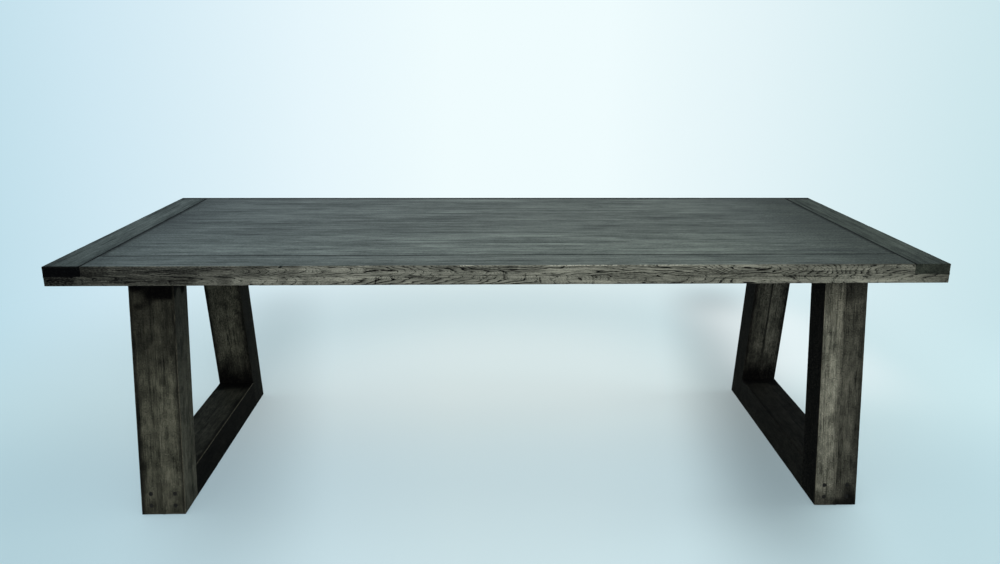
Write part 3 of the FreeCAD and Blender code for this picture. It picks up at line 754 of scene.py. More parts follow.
def timber(name, node, low, high, order, steps, growth, seed, shares, face, slot="frame_oak",
           arris=0.0018, chips=0.0, holes=(), shape=None, stains_and_shade=(), rubs=(), scars=(), wear=0.0,
           tone=1.0, finish=None, edge_finish=None):
    """Makes a timber: order names its axes as along, depth and through the board. Its face
    may have a finish of its own."""
    low, high, order = np.array(low, float), np.array(high, float), list(order)
    flat, quads = box_skin(lattice_axes(low, high, steps, arris, holes))
    share = side_share(flat, low, high, shares, arris * 1.01)
    free = share >= 1
    points, outward = worn_skin(flat, low, high, share, arris, chips, seed)
    for hole in holes:
        sink_hole(points, flat, **hole)
    grain = (flat - (low + high) / 2)[:, order]
    grain[:, 1] = depth = side_gap(flat, low, high, face)
    turned = outward[:, order]
    turned[:, 1] *= -SIDES[face][1]
    rings, slopes = year_rings(grain, growth, seed)
    pitch = ring_pitch(slopes, turned)
    opened = splits(rings, pitch, grain, growth["splits"], seed + 7) * free
    opened = opened * (1 - step_up(depth, *FACE_FADE))
    scarred = scar_depth(grain, scars) * free
    wave = 0.5 + 0.5 * noise(flat, 0.09, seed + 11)
    taken = (FACE_WAVE * wave + SPLIT_DEPTH * opened) * free + SCAR_DEPTH * np.sqrt(scarred)
    points -= outward * taken[:, None]
    ends = np.abs(turned[:, 0]) > 0.7
    dark, rubbed = dark_and_rubbed(flat, low, high, ends, scarred, free, stains_and_shade, rubs, wear, seed)
    mesh = quad_mesh(name, shape(points) if shape else points, quads)
    add_attribute(mesh, "grain", "FLOAT_VECTOR", grain + seed * PATTERN_SHIFT)
    # The stain attribute holds stain and painted shade alike.
    for field, values in (("rings", rings), ("pitch", pitch), ("split", opened), ("rub", rubbed),
                          ("stain", dark), ("tone", np.full(len(flat), tone))):
        add_attribute(mesh, field, "FLOAT", values)
    if edge_finish:
        mesh.polygons.foreach_set("material_index", (depth[quads].max(axis=1) < arris).astype(np.int32))
    piece = add_piece(mesh, [node])
    made_timbers.append((piece, [finish or slot] + ([edge_finish] if edge_finish else [])))


print("end grain is stained", END_DARK)

# %% [markdown]
# ## The planks of the top
# The border plank at the front shows its edge, and the photograph shows strong arches, open
# splits and a ragged upper arris there, so it is cut finely. The planks behind it show only
# their tops. Each plank runs from one end board to the other and from its seam to the next.

# %% Measure the seams
left_board_low, left_board_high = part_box("breadboard_left")
right_board_low, right_board_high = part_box("breadboard_right")
PLANKS = 7
seams = [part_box(f"top_plank_{number}")[0].y for number in range(1, PLANKS + 1)]
seams.append(right_board_high.y)
plank_low_z, plank_high_z = left_board_low.z, left_board_high.z
seam_x = (left_board_high.x, right_board_low.x)
print("planks between seams at", [round(seam, 3) for seam in seams])

# %% Make the planks
ARCHES_ABOVE = plan(
    at=(-1.08, -0.82, -0.66, -0.50, -0.30, 0.02, 0.30, 0.55, 0.72, 0.90, 1.08),
    climb=(0.012, 0.02, 0.05, 0.03, 0.018, 0.03, -0.02, -0.05, 0.06, 0.07, 0.05),
    height=(-0.03, -0.022, 0.0, 0.004, -0.004, -0.012, 0.012, 0.02, 0.006, 0.0, 0.012),
    bow=7.0, spacing=0.0013, wobble=1.8, splits=0.06)
ARCHES_BEHIND = plan(
    at=(-1.08, -0.5, 0.2, 1.08), climb=(0.03, -0.02, 0.04, 0.05), height=(0, 0.01, -0.01, 0),
    bow=7.0, spacing=0.0014, wobble=1.5, splits=0.2)
CALM = plan(climb=(0.003, -0.002), spacing=0.0024, wobble=1.2)
FRONT_SCARS = ((-0.345, -0.001, 0.024, 0.0022, 0.12), (-0.305, 0.0006, 0.026, 0.0022, -0.05),
               (-0.575, 0.0125, 0.005, 0.004, 0.0), (-0.98, 0.002, 0.03, 0.0012, -0.04),
               (-0.90, -0.003, 0.045, 0.0011, 0.03), (-0.72, 0.004, 0.03, 0.001, -0.02),
               (0.66, 0.002, 0.04, 0.0012, -0.06))
PLANK_TONES = (1.1, 1.4, 1.26, 1.02, 0.94, 1.05, 0.96)
REAR_SHADE = where_both(shade("+y", 0.042, 0.96, 0.018, 0.1), shade("+z", 0.004, 1.0, 0.002))
# Dark seam lines at the plank ends are stain; the long fades towards both ends are painted shade, so that the
# middle of the top looks brighter as under a sheen.
PLANK_SEAMS_AND_END_SHADE = (("-x", 0.004, 0.97, 0.0025, 0.1), ("-x", 0.3, 0.62, 0.0, 0.15),
              ("-x", 0.9, 0.26, 0.0, 0.15), ("+x", 0.004, 0.97, 0.0025, 0.1),
              ("+x", 0.7, 0.7, 0.0, 0.15), ("+x", 1.1, 0.3, 0.0, 0.15))
# The front edge darkens towards both ends, most at the left: partly stain, darkest by the black end block,
# and partly painted shade.
FRONT_STAIN_AND_SHADE = (("-x", 0.75, 0.68, 0.22), ("-x", 0.11, 0.92, 0.03), ("+x", 0.6, 0.2, 0.1))
RUBBED_STRETCHES = ((-0.118, -0.085), (0.115, 0.287), (0.354, 0.473))
STRETCH_FADE = 0.008
SEAM_SHARE = 0.8


def between(first, last):
    """Limits a stain to one stretch of the planks, given along the table."""
    from_left, from_right = last - seam_x[0], seam_x[1] - first
    return where_both(shade("-x", from_left + STRETCH_FADE, 1.0, from_left, 0.0),
                      shade("+x", from_right + STRETCH_FADE, 1.0, from_right, 0.0))


def top_plank(number):
    """Makes one plank between its two seams."""
    border = number in (1, PLANKS)
    seam = SEAM_SHARE if border else MEETING
    shares = {"-x": SEAM_SHARE, "+x": SEAM_SHARE, "-y": seam, "+y": seam, "-z": MEETING}
    # Seam lines as stain, and painted shade towards both ends of the top.
    stains_and_shade = [only(ON_TOP, *values) for values in PLANK_SEAMS_AND_END_SHADE]
    steps, growth, face, scars, rubs = (0.014, 0.0036, 0.009), CALM, "-y", (), []
    if number == 1:
        shares.pop("-y")
        steps, growth, scars = (0.0026, 0.0065, 0.0014), ARCHES_ABOVE, FRONT_SCARS
        stains_and_shade.append(shade("+y", 0.0055, 0.95, 0.002))
        # Stain and painted shade towards the front edge's ends.
        stains_and_shade += [only(ON_FRONT, *values) for values in FRONT_STAIN_AND_SHADE]
        arris = only(ON_FRONT, "+z", 0.0026, 1.0, 0.0012)
        rubs = [where_both(arris, between(*stretch)) for stretch in RUBBED_STRETCHES]
    if number == 2:
        stains_and_shade.append(shade("-y", 0.004, 0.9, 0.001))
    if number == PLANKS:
        shares.pop("+y")
        steps, growth, face = (0.004, 0.0065, 0.002), ARCHES_BEHIND, "+y"
        stains_and_shade += [shade("-y", 0.004, 0.8, 0.001), REAR_SHADE]
    timber(f"plank_{number}", f"top_plank_{number}", (seam_x[0], seams[number - 1], plank_low_z),
           (seam_x[1], seams[number], plank_high_z), (0, 1, 2), steps, growth, 10 + number, shares,
           face, "top_oak", arris=0.0024 if border else 0.0018, chips=0.9 if number == 1 else 0.0,
           stains_and_shade=stains_and_shade, rubs=rubs, scars=scars, wear=0.25, tone=PLANK_TONES[number - 1],
           edge_finish="edging_oak" if border else None)


for number in range(1, PLANKS + 1):
    top_plank(number)
print("planks:", PLANKS)

# %% [markdown]
# ## The end boards
# An end board lies across the ends of the planks, with its own grain from front to back.
# Its ends show end grain, which drinks the stain: the left one has turned black.

# %% Make the end boards
INNER = {"left": "+x", "right": "-x"}
OUTER = {"left": "-x", "right": "+x"}
END_ARCHES = plan(at=(-0.5, -0.1, 0.25, 0.5), climb=(0.03, -0.03, 0.02, 0.05),
                  height=(0, 0.008, -0.006, 0), bow=7.0, spacing=0.0015, wobble=1.4, splits=0.15)


def end_board(side, front_dark, tone, seed):
    """Makes one end board, with a dark line where the planks meet it."""
    inner, outer = INNER[side], OUTER[side]
    rim = where_both(shade(outer, 0.009, 0.8, 0.003, 0.1), shade("+z", 0.004, 1.0, 0.002))
    stains_and_shade = [only(ON_TOP, inner, 0.0035, 0.95, 0.0018, 0.1), rim, REAR_SHADE,
              shade("-y", 0.0035, front_dark, 0.002), shade("-y", 0.3, 0.35, 0.0)]
    low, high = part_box(f"breadboard_{side}")
    timber(f"end_board_{side}", f"breadboard_{side}", low, high, (1, 0, 2), (0.0045, 0.004, 0.0025),
           END_ARCHES, seed, {inner: SEAM_SHARE, "-z": MEETING}, outer, "top_oak", arris=0.0022,
           stains_and_shade=stains_and_shade, wear=0.25, tone=tone, finish="end_oak", edge_finish="edging_oak")


end_board("left", 1.06, 1.0, 31)
end_board("right", 0.42, 0.7, 32)
print("end boards:", round(left_board_high.x - left_board_low.x, 3), "m wide")

# %% [markdown]
# ## The doubled edge
# Strips under the rim make the top look twice as thick. The front strip's face continues
# the edge downwards and shows its own arches: leaning strokes at the left, then arches
# that point to the right.

# %% Make the edging strips
ARCHES_BELOW = plan(
    at=(-1.17, -0.85, -0.68, -0.56, -0.42, -0.34, 0.02, 0.12, 0.30, 0.60, 0.76, 1.17),
    climb=(0.02, 0.03, 0.06, 0.05, 0.06, 0.065, 0.06, 0.055, 0.03, 0.05, -0.06, -0.04),
    height=(0.0, -0.01, -0.004, 0.0, 0.0, 0.016, 0.014, 0.0, -0.004, 0.012, 0.0, -0.01),
    bow=7.5, spacing=0.0024, wobble=1.2, splits=0.2)
ARCHES_ACROSS = plan(at=(-0.42, 0, 0.42), climb=(0.04, -0.03, 0.05), height=(0, 0.006, 0), bow=7.0,
                     spacing=0.0015, wobble=1.4, splits=0.15)
LOWER_SCARS = ((-0.95, -0.002, 0.06, 0.0012, 0.02), (-0.83, 0.001, 0.05, 0.0011, -0.03),
               (-0.335, -0.001, 0.003, 0.008, 3.0), (0.09, 0.0, 0.003, 0.007, -2.0),
               (0.195, 0.002, 0.006, 0.0035, -0.5))
# The lower strip darkens towards both ends, most at the left, partly stain and partly painted shade, and its
# bottom face is darker.
LOWER_STAIN_AND_SHADE = [shade("-x", 0.8, 0.78, 0.3), shade("-x", 0.18, 0.96, 0.06),
                shade("+x", 0.15, 0.45), shade("-z", 0.003, 0.5)]


def edging(side, order, steps, growth, seed, shares, stains_and_shade=(), scars=(), wear=0.4):
    """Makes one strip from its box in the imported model."""
    low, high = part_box(f"edging_{side}")
    outer = {"front": "-y", "rear": "+y", **OUTER}[side]
    timber(f"edge_strip_{side}", f"edging_{side}", low, high, order, steps, growth, seed,
           {**shares, "+z": MEETING}, outer, "edging_oak", arris=0.0022, stains_and_shade=stains_and_shade,
           scars=scars, wear=wear)


edging("front", (0, 1, 2), (0.0026, 0.009, 0.0015), ARCHES_BELOW, 41, {"+y": 0.5}, LOWER_STAIN_AND_SHADE,
       LOWER_SCARS, 0.2)
edging("rear", (0, 1, 2), (0.004, 0.009, 0.002), ARCHES_BEHIND, 42, {"-y": 0.5})
for seed, (side, inner) in enumerate(INNER.items(), 43):
    edging(side, (1, 0, 2), (0.0045, 0.008, 0.002), ARCHES_ACROSS, seed,
           {inner: 0.5, "-y": MEETING, "+y": MEETING})
print("edging strips: 4")

# %% [markdown]
# ## The battens under the top
# Four flat bars cross the planks from below. They are plain work that only a child under
# the table sees, so they get straight grain and crisp edges.

# %% Make the battens
for seed, name in enumerate(("left_frame", "left_middle", "right_middle", "right_frame"), 51):
    low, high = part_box(f"batten_{name}")
    high.z = plank_low_z
    timber(f"batten_{name}_bar", f"batten_{name}", low, high, (1, 0, 2), (0.008, 0.006, 0.006),
           plan(), seed, {"+z": MEETING, "-y": MEETING, "+y": MEETING}, "-x", "batten_oak",
           arris=0.0015, stains_and_shade=[shade("-y", 0.02, 0.4), shade("+y", 0.02, 0.4)], wear=0.1)
print("battens: 4")

# %% [markdown]
# ## The legs
# A leg is two glued halves, called staves here, and it leans inwards as it rises. The
# stave is built upright and then sheared, so that its grain follows the lean. The foot's
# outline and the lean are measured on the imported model. Near the foot, and again under the
# top, round plugs hide the screws that hold the rails.

# %% Measure a leg


def outline_at(node, level):
    """Gives the lowest and highest corner of a node's points at its foot or its head."""
    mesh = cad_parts[node].data
    points = np.zeros(len(mesh.vertices) * 3)
    mesh.vertices.foreach_get("co", points)
    points = points.reshape(-1, 3)
    height = points[:, 2].min() if level == "foot" else points[:, 2].max()
    ring = points[np.abs(points[:, 2] - height) < 1e-4]
    return ring.min(axis=0), ring.max(axis=0)


foot_low, foot_high = outline_at("right_rear_leg_outer", "foot")
head_high = outline_at("right_rear_leg_outer", "head")[1]
LEAN = (foot_high[1] - head_high[1]) / (head_high[2] - foot_high[2])
PLUG_RADIUS = 0.006
PLUG_OFFSET = 0.034
PLUG_HEIGHTS = (0.028, 0.063, 0.6705)
print("lean:", round(LEAN, 4), " foot depth:", round(foot_high[1] - foot_low[1], 4))

# %% Make the staves
LEGS = [(side, end) for side in ("left", "right") for end in ("front", "rear")]
RAIL_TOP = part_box("left_bottom_rail")[1].z - foot_low[2]
STAVE_ARCHES = plan(at=(-0.36, -0.1, 0.2, 0.36), climb=(0.008, 0.014, -0.01, 0.008),
                    height=(-0.01, 0.0, 0.012, 0.0), bow=4.5, spacing=0.0016, wobble=1.1, splits=0.04)
STAVE_TONES = {"left_front": (1.25, 1.08), "left_rear": (1.25, 1.3),
               "right_front": (3.5, 1.15), "right_rear": (1.2, 1.6)}
WORN = {"front": 0.6, "rear": 0.15}
# Painted shade under the top: for each leg, the reach, depth and full-depth distance of the darkening at its
# head.
HEAD_SHADES = {("left", "front"): (0.12, 1.03, 0.055), ("left", "rear"): (0.11, 0.97, 0.055),
         ("right", "front"): (0.12, 0.55, 0.05), ("right", "rear"): (0.11, 0.97, 0.055)}
BRIGHT_SIDE = ("left", "front", "inner")
PALE_FACE = ("right", "front", "inner")
EDGE_DARK = {BRIGHT_SIDE: 0.4, PALE_FACE: 0.22, ("right", "front", "outer"): 0.55}
FOOT_DARK = {"left": 0.45, "right": 0.85}
PLUG_DEPTH = 0.002


def pale_face_stains(glued):
    """Lists the darkenings that only the palest stave has, along the glue line and at its foot."""
    return [shade(glued, 0.024, 0.66, 0.002, 0.8), shade("-z", 0.45, 0.24, 0.08),
            where_both(shade("-z", 0.06, 1.0, 0.0, 0.7), shade(glued, 0.035, 1.0, 0.0, 0.6))]


def leg_stains_and_shade(side, end, layer, side_face, glued):
    """Lists a stave's darkenings: painted shade at the head under the top, in the corner over the rail and on
    the side faces, and stain at the foot and along the arrises.
    Some are only on the face that the photograph shows, which is the one at -Y."""
    which = (side, end, layer)
    bright, pale = which == BRIGHT_SIDE, which == PALE_FACE
    # Painted shade: the head under the top, and the side faces; the dark border on the front face is stain.
    stains_and_shade = [shade("+z", *HEAD_SHADES[side, end]), shade(side_face, 0.02, 0.2 if bright else 0.35, 0.002),
              only(ON_FRONT, side_face, 0.05 if pale else 0.024, EDGE_DARK.get(which, 0.9), 0.004)]
    # Painted shade: the face darkens over a long way towards the top.
    if side == "left":
        stains_and_shade.append(shade("+z", 0.42, 0.68, 0.12))
    elif layer == "inner":
        stains_and_shade.append(shade("+z", 0.26, 0.5, 0.08))
    if end == "rear":
        # Painted shade in the corner over the rail; the front face also darkens towards its side.
        stains_and_shade += [only(ON_FRONT, "-z", RAIL_TOP + 0.2, 1.0, RAIL_TOP + 0.015, 0.14),
                   only(ON_FRONT, side_face, 0.05, 0.5, 0.01)]
    else:
        foot_dark = FOOT_DARK[side] + (0.1 if layer == "outer" else 0.0)
        stains_and_shade.append(shade("-z", 0.1 if pale or side == "left" else 0.055, foot_dark, 0.005, 0.8))
    if bright:
        stains_and_shade.append(where_both(shade(side_face, 0.012, 0.85, 0.004), shade("-y", 0.001, 1.0)))
    elif layer == "inner":
        # Painted shade: an inner stave's whole side face, turned from the light.
        stains_and_shade.append(shade(side_face, 0.001, 1.02 if pale else 0.9, 0.0005, 0.0))
    if pale:
        stains_and_shade += pale_face_stains(glued)
    if (side, end) == ("right", "rear"):
        stains_and_shade.append(where_both(shade(glued, 0.006, 0.85, 0.001), shade("-y", 0.01, 1.0)))
    return stains_and_shade


def stave(side, end, layer, seed):
    """Makes one half of a leg from its foot's outline, then leans it."""
    node = f"{side}_{end}_leg_{layer}"
    low, high = outline_at(node, "foot")
    facing, outer = (1, "+y") if end == "rear" else (-1, "-y")
    faces = (INNER[side], OUTER[side])
    side_face, glued = faces if layer == "inner" else faces[::-1]
    column = low[0] + PLUG_OFFSET if glued == "-x" else high[0] - PLUG_OFFSET
    holes = [{"side": outer, "centre": (column, height), "radius": PLUG_RADIUS, "depth": PLUG_DEPTH}
             for height in PLUG_HEIGHTS]
    arris = where_both(shade("+x", 0.0022, 0.6, 0.001, 0.0), shade("-y", 0.0022, 1.0, 0.001, 0.0))
    rubbed_arris = where_both(arris, shade("-z", 0.55, 1.0, 0.4))

    def leaning(points):
        """Moves each point inwards by its height above the foot times the lean."""
        points = points.copy()
        points[:, 1] -= facing * LEAN * (points[:, 2] - low[2])
        return points

    timber(f"stave_{node}", node, low, (high[0], high[1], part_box(node)[1].z), (2, 1, 0),
           (0.0035, 0.0045, 0.006), STAVE_ARCHES, seed, {glued: MEETING, "+z": MEETING}, outer,
           arris=0.002, chips=0.3, holes=holes, shape=leaning, wear=WORN[end],
           stains_and_shade=leg_stains_and_shade(side, end, layer, side_face, glued),
           rubs=[rubbed_arris] if (side, end, layer) == BRIGHT_SIDE else [],
           tone=STAVE_TONES[f"{side}_{end}"][layer == "outer"])


for number, (side, end) in enumerate(LEGS):
    stave(side, end, "inner", 61 + 2 * number)
    stave(side, end, "outer", 62 + 2 * number)
print("staves:", 2 * len(LEGS))

# %% [markdown]
# ## The rails
# The floor rail and the rail under the top run between the legs, and their ends are cut to
# the lean. The rail is built square and then narrowed towards its top. The upper rail has
# four recesses from below, where the bolts' heads sit.

# %% Make the rails
BOLT_RADIUS = 0.013
BOLT_DEPTH = 0.022
WASHER_RADIUS = 0.011
RAIL_ARCHES = plan(at=(-0.4, -0.1, 0.12, 0.4), climb=(0.02, 0.008, -0.012, -0.03),
                   height=(0.01, 0, -0.01, 0.01), bow=3.5, spacing=0.0016, wobble=1.2, splits=0.03)
# Painted shade on the floor rails: how dark the inner side face and the top are.
RAIL_SIDE_SHADE = {"left": 0.95, "right": 0.85}
RAIL_TOP_SHADE = {"left": 0.5, "right": 0.82}
ON_TOP_FADING = shade("+z", 0.003, 1.0)


def rail(name, node, foot_reach, height, seed, stains_and_shade, wear, rubs=(), holes=()):
    """Makes one rail: its length at the bottom is twice foot_reach."""
    box_low, box_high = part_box(node)
    low = (box_low.x, -foot_reach, box_high.z - height)
    high = (box_high.x, foot_reach, box_high.z)

    def cut_to_lean(points):
        """Draws the ends in, by the lean, as the rail rises."""
        points = points.copy()
        points[:, 1] *= (foot_reach - LEAN * (points[:, 2] - low[2])) / foot_reach
        return points

    timber(name, node, low, high, (1, 2, 0), (0.005, 0.006, 0.005), RAIL_ARCHES, seed,
           {"-y": MEETING, "+y": MEETING}, "+z", arris=0.002, chips=0.3, holes=holes,
           shape=cut_to_lean, stains_and_shade=stains_and_shade, rubs=rubs, wear=wear)


def floor_rail(side, seed):
    """Makes the rail on the floor, with painted shade on its top, its inner side and the ends of its top by
    the legs, and a dark band along its inner arris.
    """
    low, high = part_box(f"{side}_bottom_rail")
    inner = INNER[side]
    # Painted shade: the top's ends in the corners by the legs, the inner side face and the top; the band
    # along the inner arris is darker still.
    stains_and_shade = [where_both(shade("+y", 0.14, 1.0, 0.03), shade("+z", 0.06, 1.0)),
              where_both(shade("-y", 0.08, 0.85, 0.01), shade("+z", 0.06, 1.0)),
              shade(inner, 0.003, RAIL_SIDE_SHADE[side], 0.001, 0.0),
              only(ON_TOP_FADING, inner, 0.03, 0.9, 0.005),
              shade("+z", 0.003, RAIL_TOP_SHADE[side], 0.001, 0.0)]
    arris = where_both(shade(inner, 0.0022, 0.75, 0.001, 0.0), shade("+z", 0.0022, 1.0, 0.001, 0.0))
    rail(f"floor_rail_{side}", f"{side}_bottom_rail", foot_low[1], high.z - low.z, seed, stains_and_shade,
         0.15, [arris] if side == "left" else ())


def upper_rail(side, seed):
    """Makes the rail under the top, with a recess about each washer, and painted shade towards its top."""
    low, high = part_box(f"{side}_top_rail")
    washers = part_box(f"{side}_frame_washers")
    xs, ys = ((washers[0][axis] + WASHER_RADIUS, washers[1][axis] - WASHER_RADIUS) for axis in (0, 1))
    recesses = [{"side": "-z", "centre": (x, y), "radius": BOLT_RADIUS, "depth": BOLT_DEPTH}
                for x in xs for y in ys]
    # Painted shade: the rail darkens towards its top, under the table top.
    rail(f"upper_rail_{side}", f"{side}_top_rail", foot_low[1] - LEAN * (low.z - foot_low[2]),
         high.z - low.z, seed, [shade("+z", 0.05, 0.6)], 0.1, holes=recesses)


for seed, side in enumerate(INNER, 81):
    floor_rail(side, seed)
    upper_rail(side, seed + 2)
print("rails: 4, reach at the floor", round(foot_low[1], 4))

# %% [markdown]
# ## The plugs
# Each plug is a short dowel, cut flush and gone a little hollow, with end grain on its
# face. A profile turned about its axis makes it: a curve of radius and height, spun in one
# step. Its face follows the leg's lean, and the six plugs of a leg are one piece.

# %% Turn the plugs
PLUG_SPOKES = 28
PLUG_SHARES = np.array([0.03, 0.35, 0.7, 0.93, 1.0, 1.0, 0.03])
PLUG_SINK = np.array([0.00035, 0.0003, 0.00022, 0.00025, 0.0006, 0.0045, 0.0045])
PLUG_GAP = 0.0002


def spun(radii, drops, spokes):
    """Spins a profile about its axis: ring i has radius radii[i] and lies drops[i] deep."""
    angle = np.linspace(0, 2 * np.pi, spokes, endpoint=False)
    points = np.zeros((len(radii), spokes, 3))
    points[..., 0] = radii[:, None] * np.cos(angle)
    points[..., 1] = radii[:, None] * np.sin(angle)
    points[..., 2] = -drops[:, None]
    number = np.arange(len(radii) * spokes).reshape(-1, spokes)
    return points.reshape(-1, 3), grid_quads(np.concatenate([number, number[:, :1]], axis=1), False)


def plug_set(side, end):
    """Makes the six plugs of one leg as one piece."""
    facing = 1 if end == "rear" else -1
    disc, quads = spun(PLUG_SHARES * (PLUG_RADIUS - PLUG_GAP), PLUG_SINK, PLUG_SPOKES)
    middle_x = sum(corner.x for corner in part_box(f"{side}_top_rail")) / 2
    points, faces = [], []
    for height in PLUG_HEIGHTS:
        for column in (-PLUG_OFFSET, PLUG_OFFSET):
            x = middle_x + disc[:, 0] * facing + column
            z = height + disc[:, 1]
            y = facing * (foot_high[1] - LEAN * (z - foot_high[2]) + disc[:, 2])
            faces.append(quads + len(points) * len(disc))
            points.append(np.stack([x, y, z], -1))
    mesh = quad_mesh(f"plugs_{side}_{end}", np.vstack(points), np.vstack(faces)[:, ::-1])
    return add_piece(mesh, [f"{side}_{end}_leg_plugs"])


plugs = [plug_set(side, end) for side, end in LEGS]
print("plugs:", 6 * len(plugs))

# %% [markdown]
# ## The felt pads
# Four thin felt sheets keep the legs off the floor. They show as a fine line under the
# front legs. Each is a flat slab with a soft, slightly fluffy rim.

# %% Cut the pads
PAD_STEPS = (0.004, 0.004, 0.001)
PAD_ROUND = 0.0007
PAD_FLUFF = 0.0003
PAD_SEED = 95


def foot_pad(side, end):
    """Makes one pad: a slab whose rim waves in and out a little."""
    node = f"{side}_{end}_foot_pad"
    low, high = (np.array(corner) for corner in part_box(node))
    flat, quads = box_skin([lines(low[a], high[a], PAD_STEPS[a], PAD_ROUND) for a in range(3)])
    points, outward = roll_edges(flat, low, high, np.full(len(flat), PAD_ROUND))
    fluff = PAD_FLUFF * (1 + noise(points, 0.003, PAD_SEED)) * (np.abs(outward[:, 2]) < 0.5)
    mesh = quad_mesh(f"pad_{side}_{end}", points - outward * fluff[:, None], quads)
    piece = add_piece(mesh, [node])
    return piece


pads = [foot_pad(side, end) for side, end in LEGS]
print("pads:", len(pads))

# %% [markdown]
# ## The look of weathered oak
# Oak that was stained grey and rubbed back has dark pores and year rings, pale ridges
# between them, and slow changes of tone from board to board. The material reads the
# board's own grain attribute, which runs along, into and through the board, so the same
# recipe fits every direction. Fibres, dashes and specks are noise stretched along the
# grain. Each adds its weight to one number, the depth of stain, and a colour ramp turns
# that number into three tones. The ring count draws the arches.

# %% Lay the parts of the pattern
SPREADS = {"fibre": (0.11, 0.0022), "streak": (0.30, 0.013), "dash": (0.045, 0.0038),
           "speck": (0.006, 0.0026), "patch": (0.30, 0.07), "cloud": (0.055, 0.035),
           "vein": (0.26, 0.012), "fleck": (0.035, 0.011)}
SPREAD_DETAIL = 2.5
SUB_RINGS = 4.7


def spread(tree, grain, name, fineness):
    """Lays noise along the grain: its spread is the length and width of a blotch, in metres."""
    along, across = (size / fineness for size in SPREADS[name])
    vector = stretch(tree, grain, (1 / along, 1 / across, 1 / across))
    return put(tree, "TexNoise", {"Vector": vector, "Scale": 1.0, "Detail": SPREAD_DETAIL,
                                  "Roughness": 0.6}).outputs[0]


def attribute(tree, name):
    """Reads one of the timber's stored numbers."""
    return put(tree, "Attribute", attribute_name=name).outputs["Fac"]


def ring_lines(tree, count, pitch, core, tail):
    """Draws a thin line at each whole count, and a fading tail on one side of it."""
    part = calc(tree, "FRACT", count)
    back = calc(tree, "MINIMUM", part, rest_of(tree, part))
    line = rest_of(tree, ease(tree, calc(tree, "DIVIDE", back, pitch), 0.3 * core, core))
    fading = rest_of(tree, ease(tree, calc(tree, "DIVIDE", part, pitch), 0.0, tail))
    both = calc(tree, "MAXIMUM", line, times(tree, fading, 0.4))
    roomy = ease(tree, calc(tree, "DIVIDE", 1.0, pitch), core, 3.5 * core)
    whole = calc(tree, "FLOOR", count)
    luck = put(tree, "TexWhiteNoise", {"W": whole}, noise_dimensions="1D").outputs["Value"]
    return times(tree, both, roomy, calc(tree, "MULTIPLY_ADD", luck, 0.6, 0.4))


def weigh(tree, total, value, weight, level=0.5):
    """Adds a part to the total: how far it lies below its level, times its weight."""
    return calc(tree, "MULTIPLY_ADD", calc(tree, "SUBTRACT", level, value), weight, total)


print("pattern parts:", list(SPREADS))

# %% Write the recipe for oak
SPLIT_BLACK = colour(3, 3, 4)
TOP_TINTS = ((0.93, 1.0, 1.05, 1.0), (0.97, 1.0, 0.88, 1.0))
PLAIN_TINTS = ((0.96, 1.0, 1.04, 1.0), (0.97, 1.0, 1.0, 1.0))
FRAME_TINTS = ((0.97, 1.0, 1.03, 1.0), (0.98, 1.0, 1.09, 1.0))
TINT_REACH = 1.1
MAIN_TAIL = 0.0045
FINE_LINE = (0.0008, 0.002)


def line_depth(tree, depth, rings, pitch, parts, weights):
    """Adds the year rings' lines to the depth of stain: main ones, and finer ones between."""
    main = ring_lines(tree, weigh(tree, rings, parts["dash"], 1.1), pitch, weights["line"], MAIN_TAIL)
    broken = ease(tree, parts["dash"], 0.36, 0.55)
    main = times(tree, main, calc(tree, "MULTIPLY_ADD", broken, 0.75, 0.25))
    finer = times(tree, weigh(tree, rings, parts["fibre"], 0.35), SUB_RINGS)
    fine = ring_lines(tree, finer, times(tree, pitch, SUB_RINGS), *FINE_LINE)
    fine = times(tree, fine, ease(tree, parts["speck"], 0.42, 0.58))
    depth = calc(tree, "MULTIPLY_ADD", main, weights["rings"], depth)
    depth = calc(tree, "MULTIPLY_ADD", fine, weights["rings"] * 0.55, depth)
    return calc(tree, "MINIMUM", calc(tree, "MAXIMUM", depth, 0.0), 1.0)


def wood_colour(tree, depth, tones, tints):
    """Turns depth into a mix of three tones, tinted along the table and board by board."""
    ramp = put(tree, "ValToRGB", {0: depth})
    ramp.color_ramp.elements[0].color = tones[0]
    ramp.color_ramp.elements[1].color = tones[2]
    ramp.color_ramp.elements.new(0.5).color = tones[1]
    across = put(tree, "SeparateXYZ", {0: object_place(tree)}).outputs["X"]
    tint = blend_colours(tree, ease(tree, across, -TINT_REACH, TINT_REACH), *tints)
    toned = blend_colours(tree, 1.0, ramp.outputs[0], tint, "MULTIPLY")
    tone = put(tree, "CombineXYZ", {axis: attribute(tree, "tone") for axis in "XYZ"}).outputs[0]
    return blend_colours(tree, 1.0, toned, tone, "MULTIPLY")


def dark_marks(tree, rings, pitch, speck):
    """Gives how black a point is: in an open split, and under the stain and the painted shade, which have a
    ragged rim.
    """
    gap = calc(tree, "ABSOLUTE", calc(tree, "SUBTRACT", rings, calc(tree, "ROUND", rings)))
    crisp = rest_of(tree, ease(tree, calc(tree, "DIVIDE", gap, pitch), 0.0003, 0.0013))
    crack = times(tree, ease(tree, attribute(tree, "split"), 0.05, 0.5), crisp)
    stain = attribute(tree, "stain")
    stained = times(tree, weigh(tree, stain, speck, 0.5), ease(tree, stain, 0.0, 0.1), 0.97)
    return calc(tree, "MAXIMUM", crack, stained, clamp=True)


def coat(tree, surface, values, height=None, strength=0.0, distance=0.0):
    """Covers a surface with the common shader, and gives it a bump where it has a height."""
    if height is not None:
        bump = {"Height": height, "Strength": strength, "Distance": distance}
        values = {**values, "Normal": put(tree, "Bump", bump).outputs[0]}
    tree.links.new(put(tree, "BsdfPrincipled", values).outputs[0], surface)


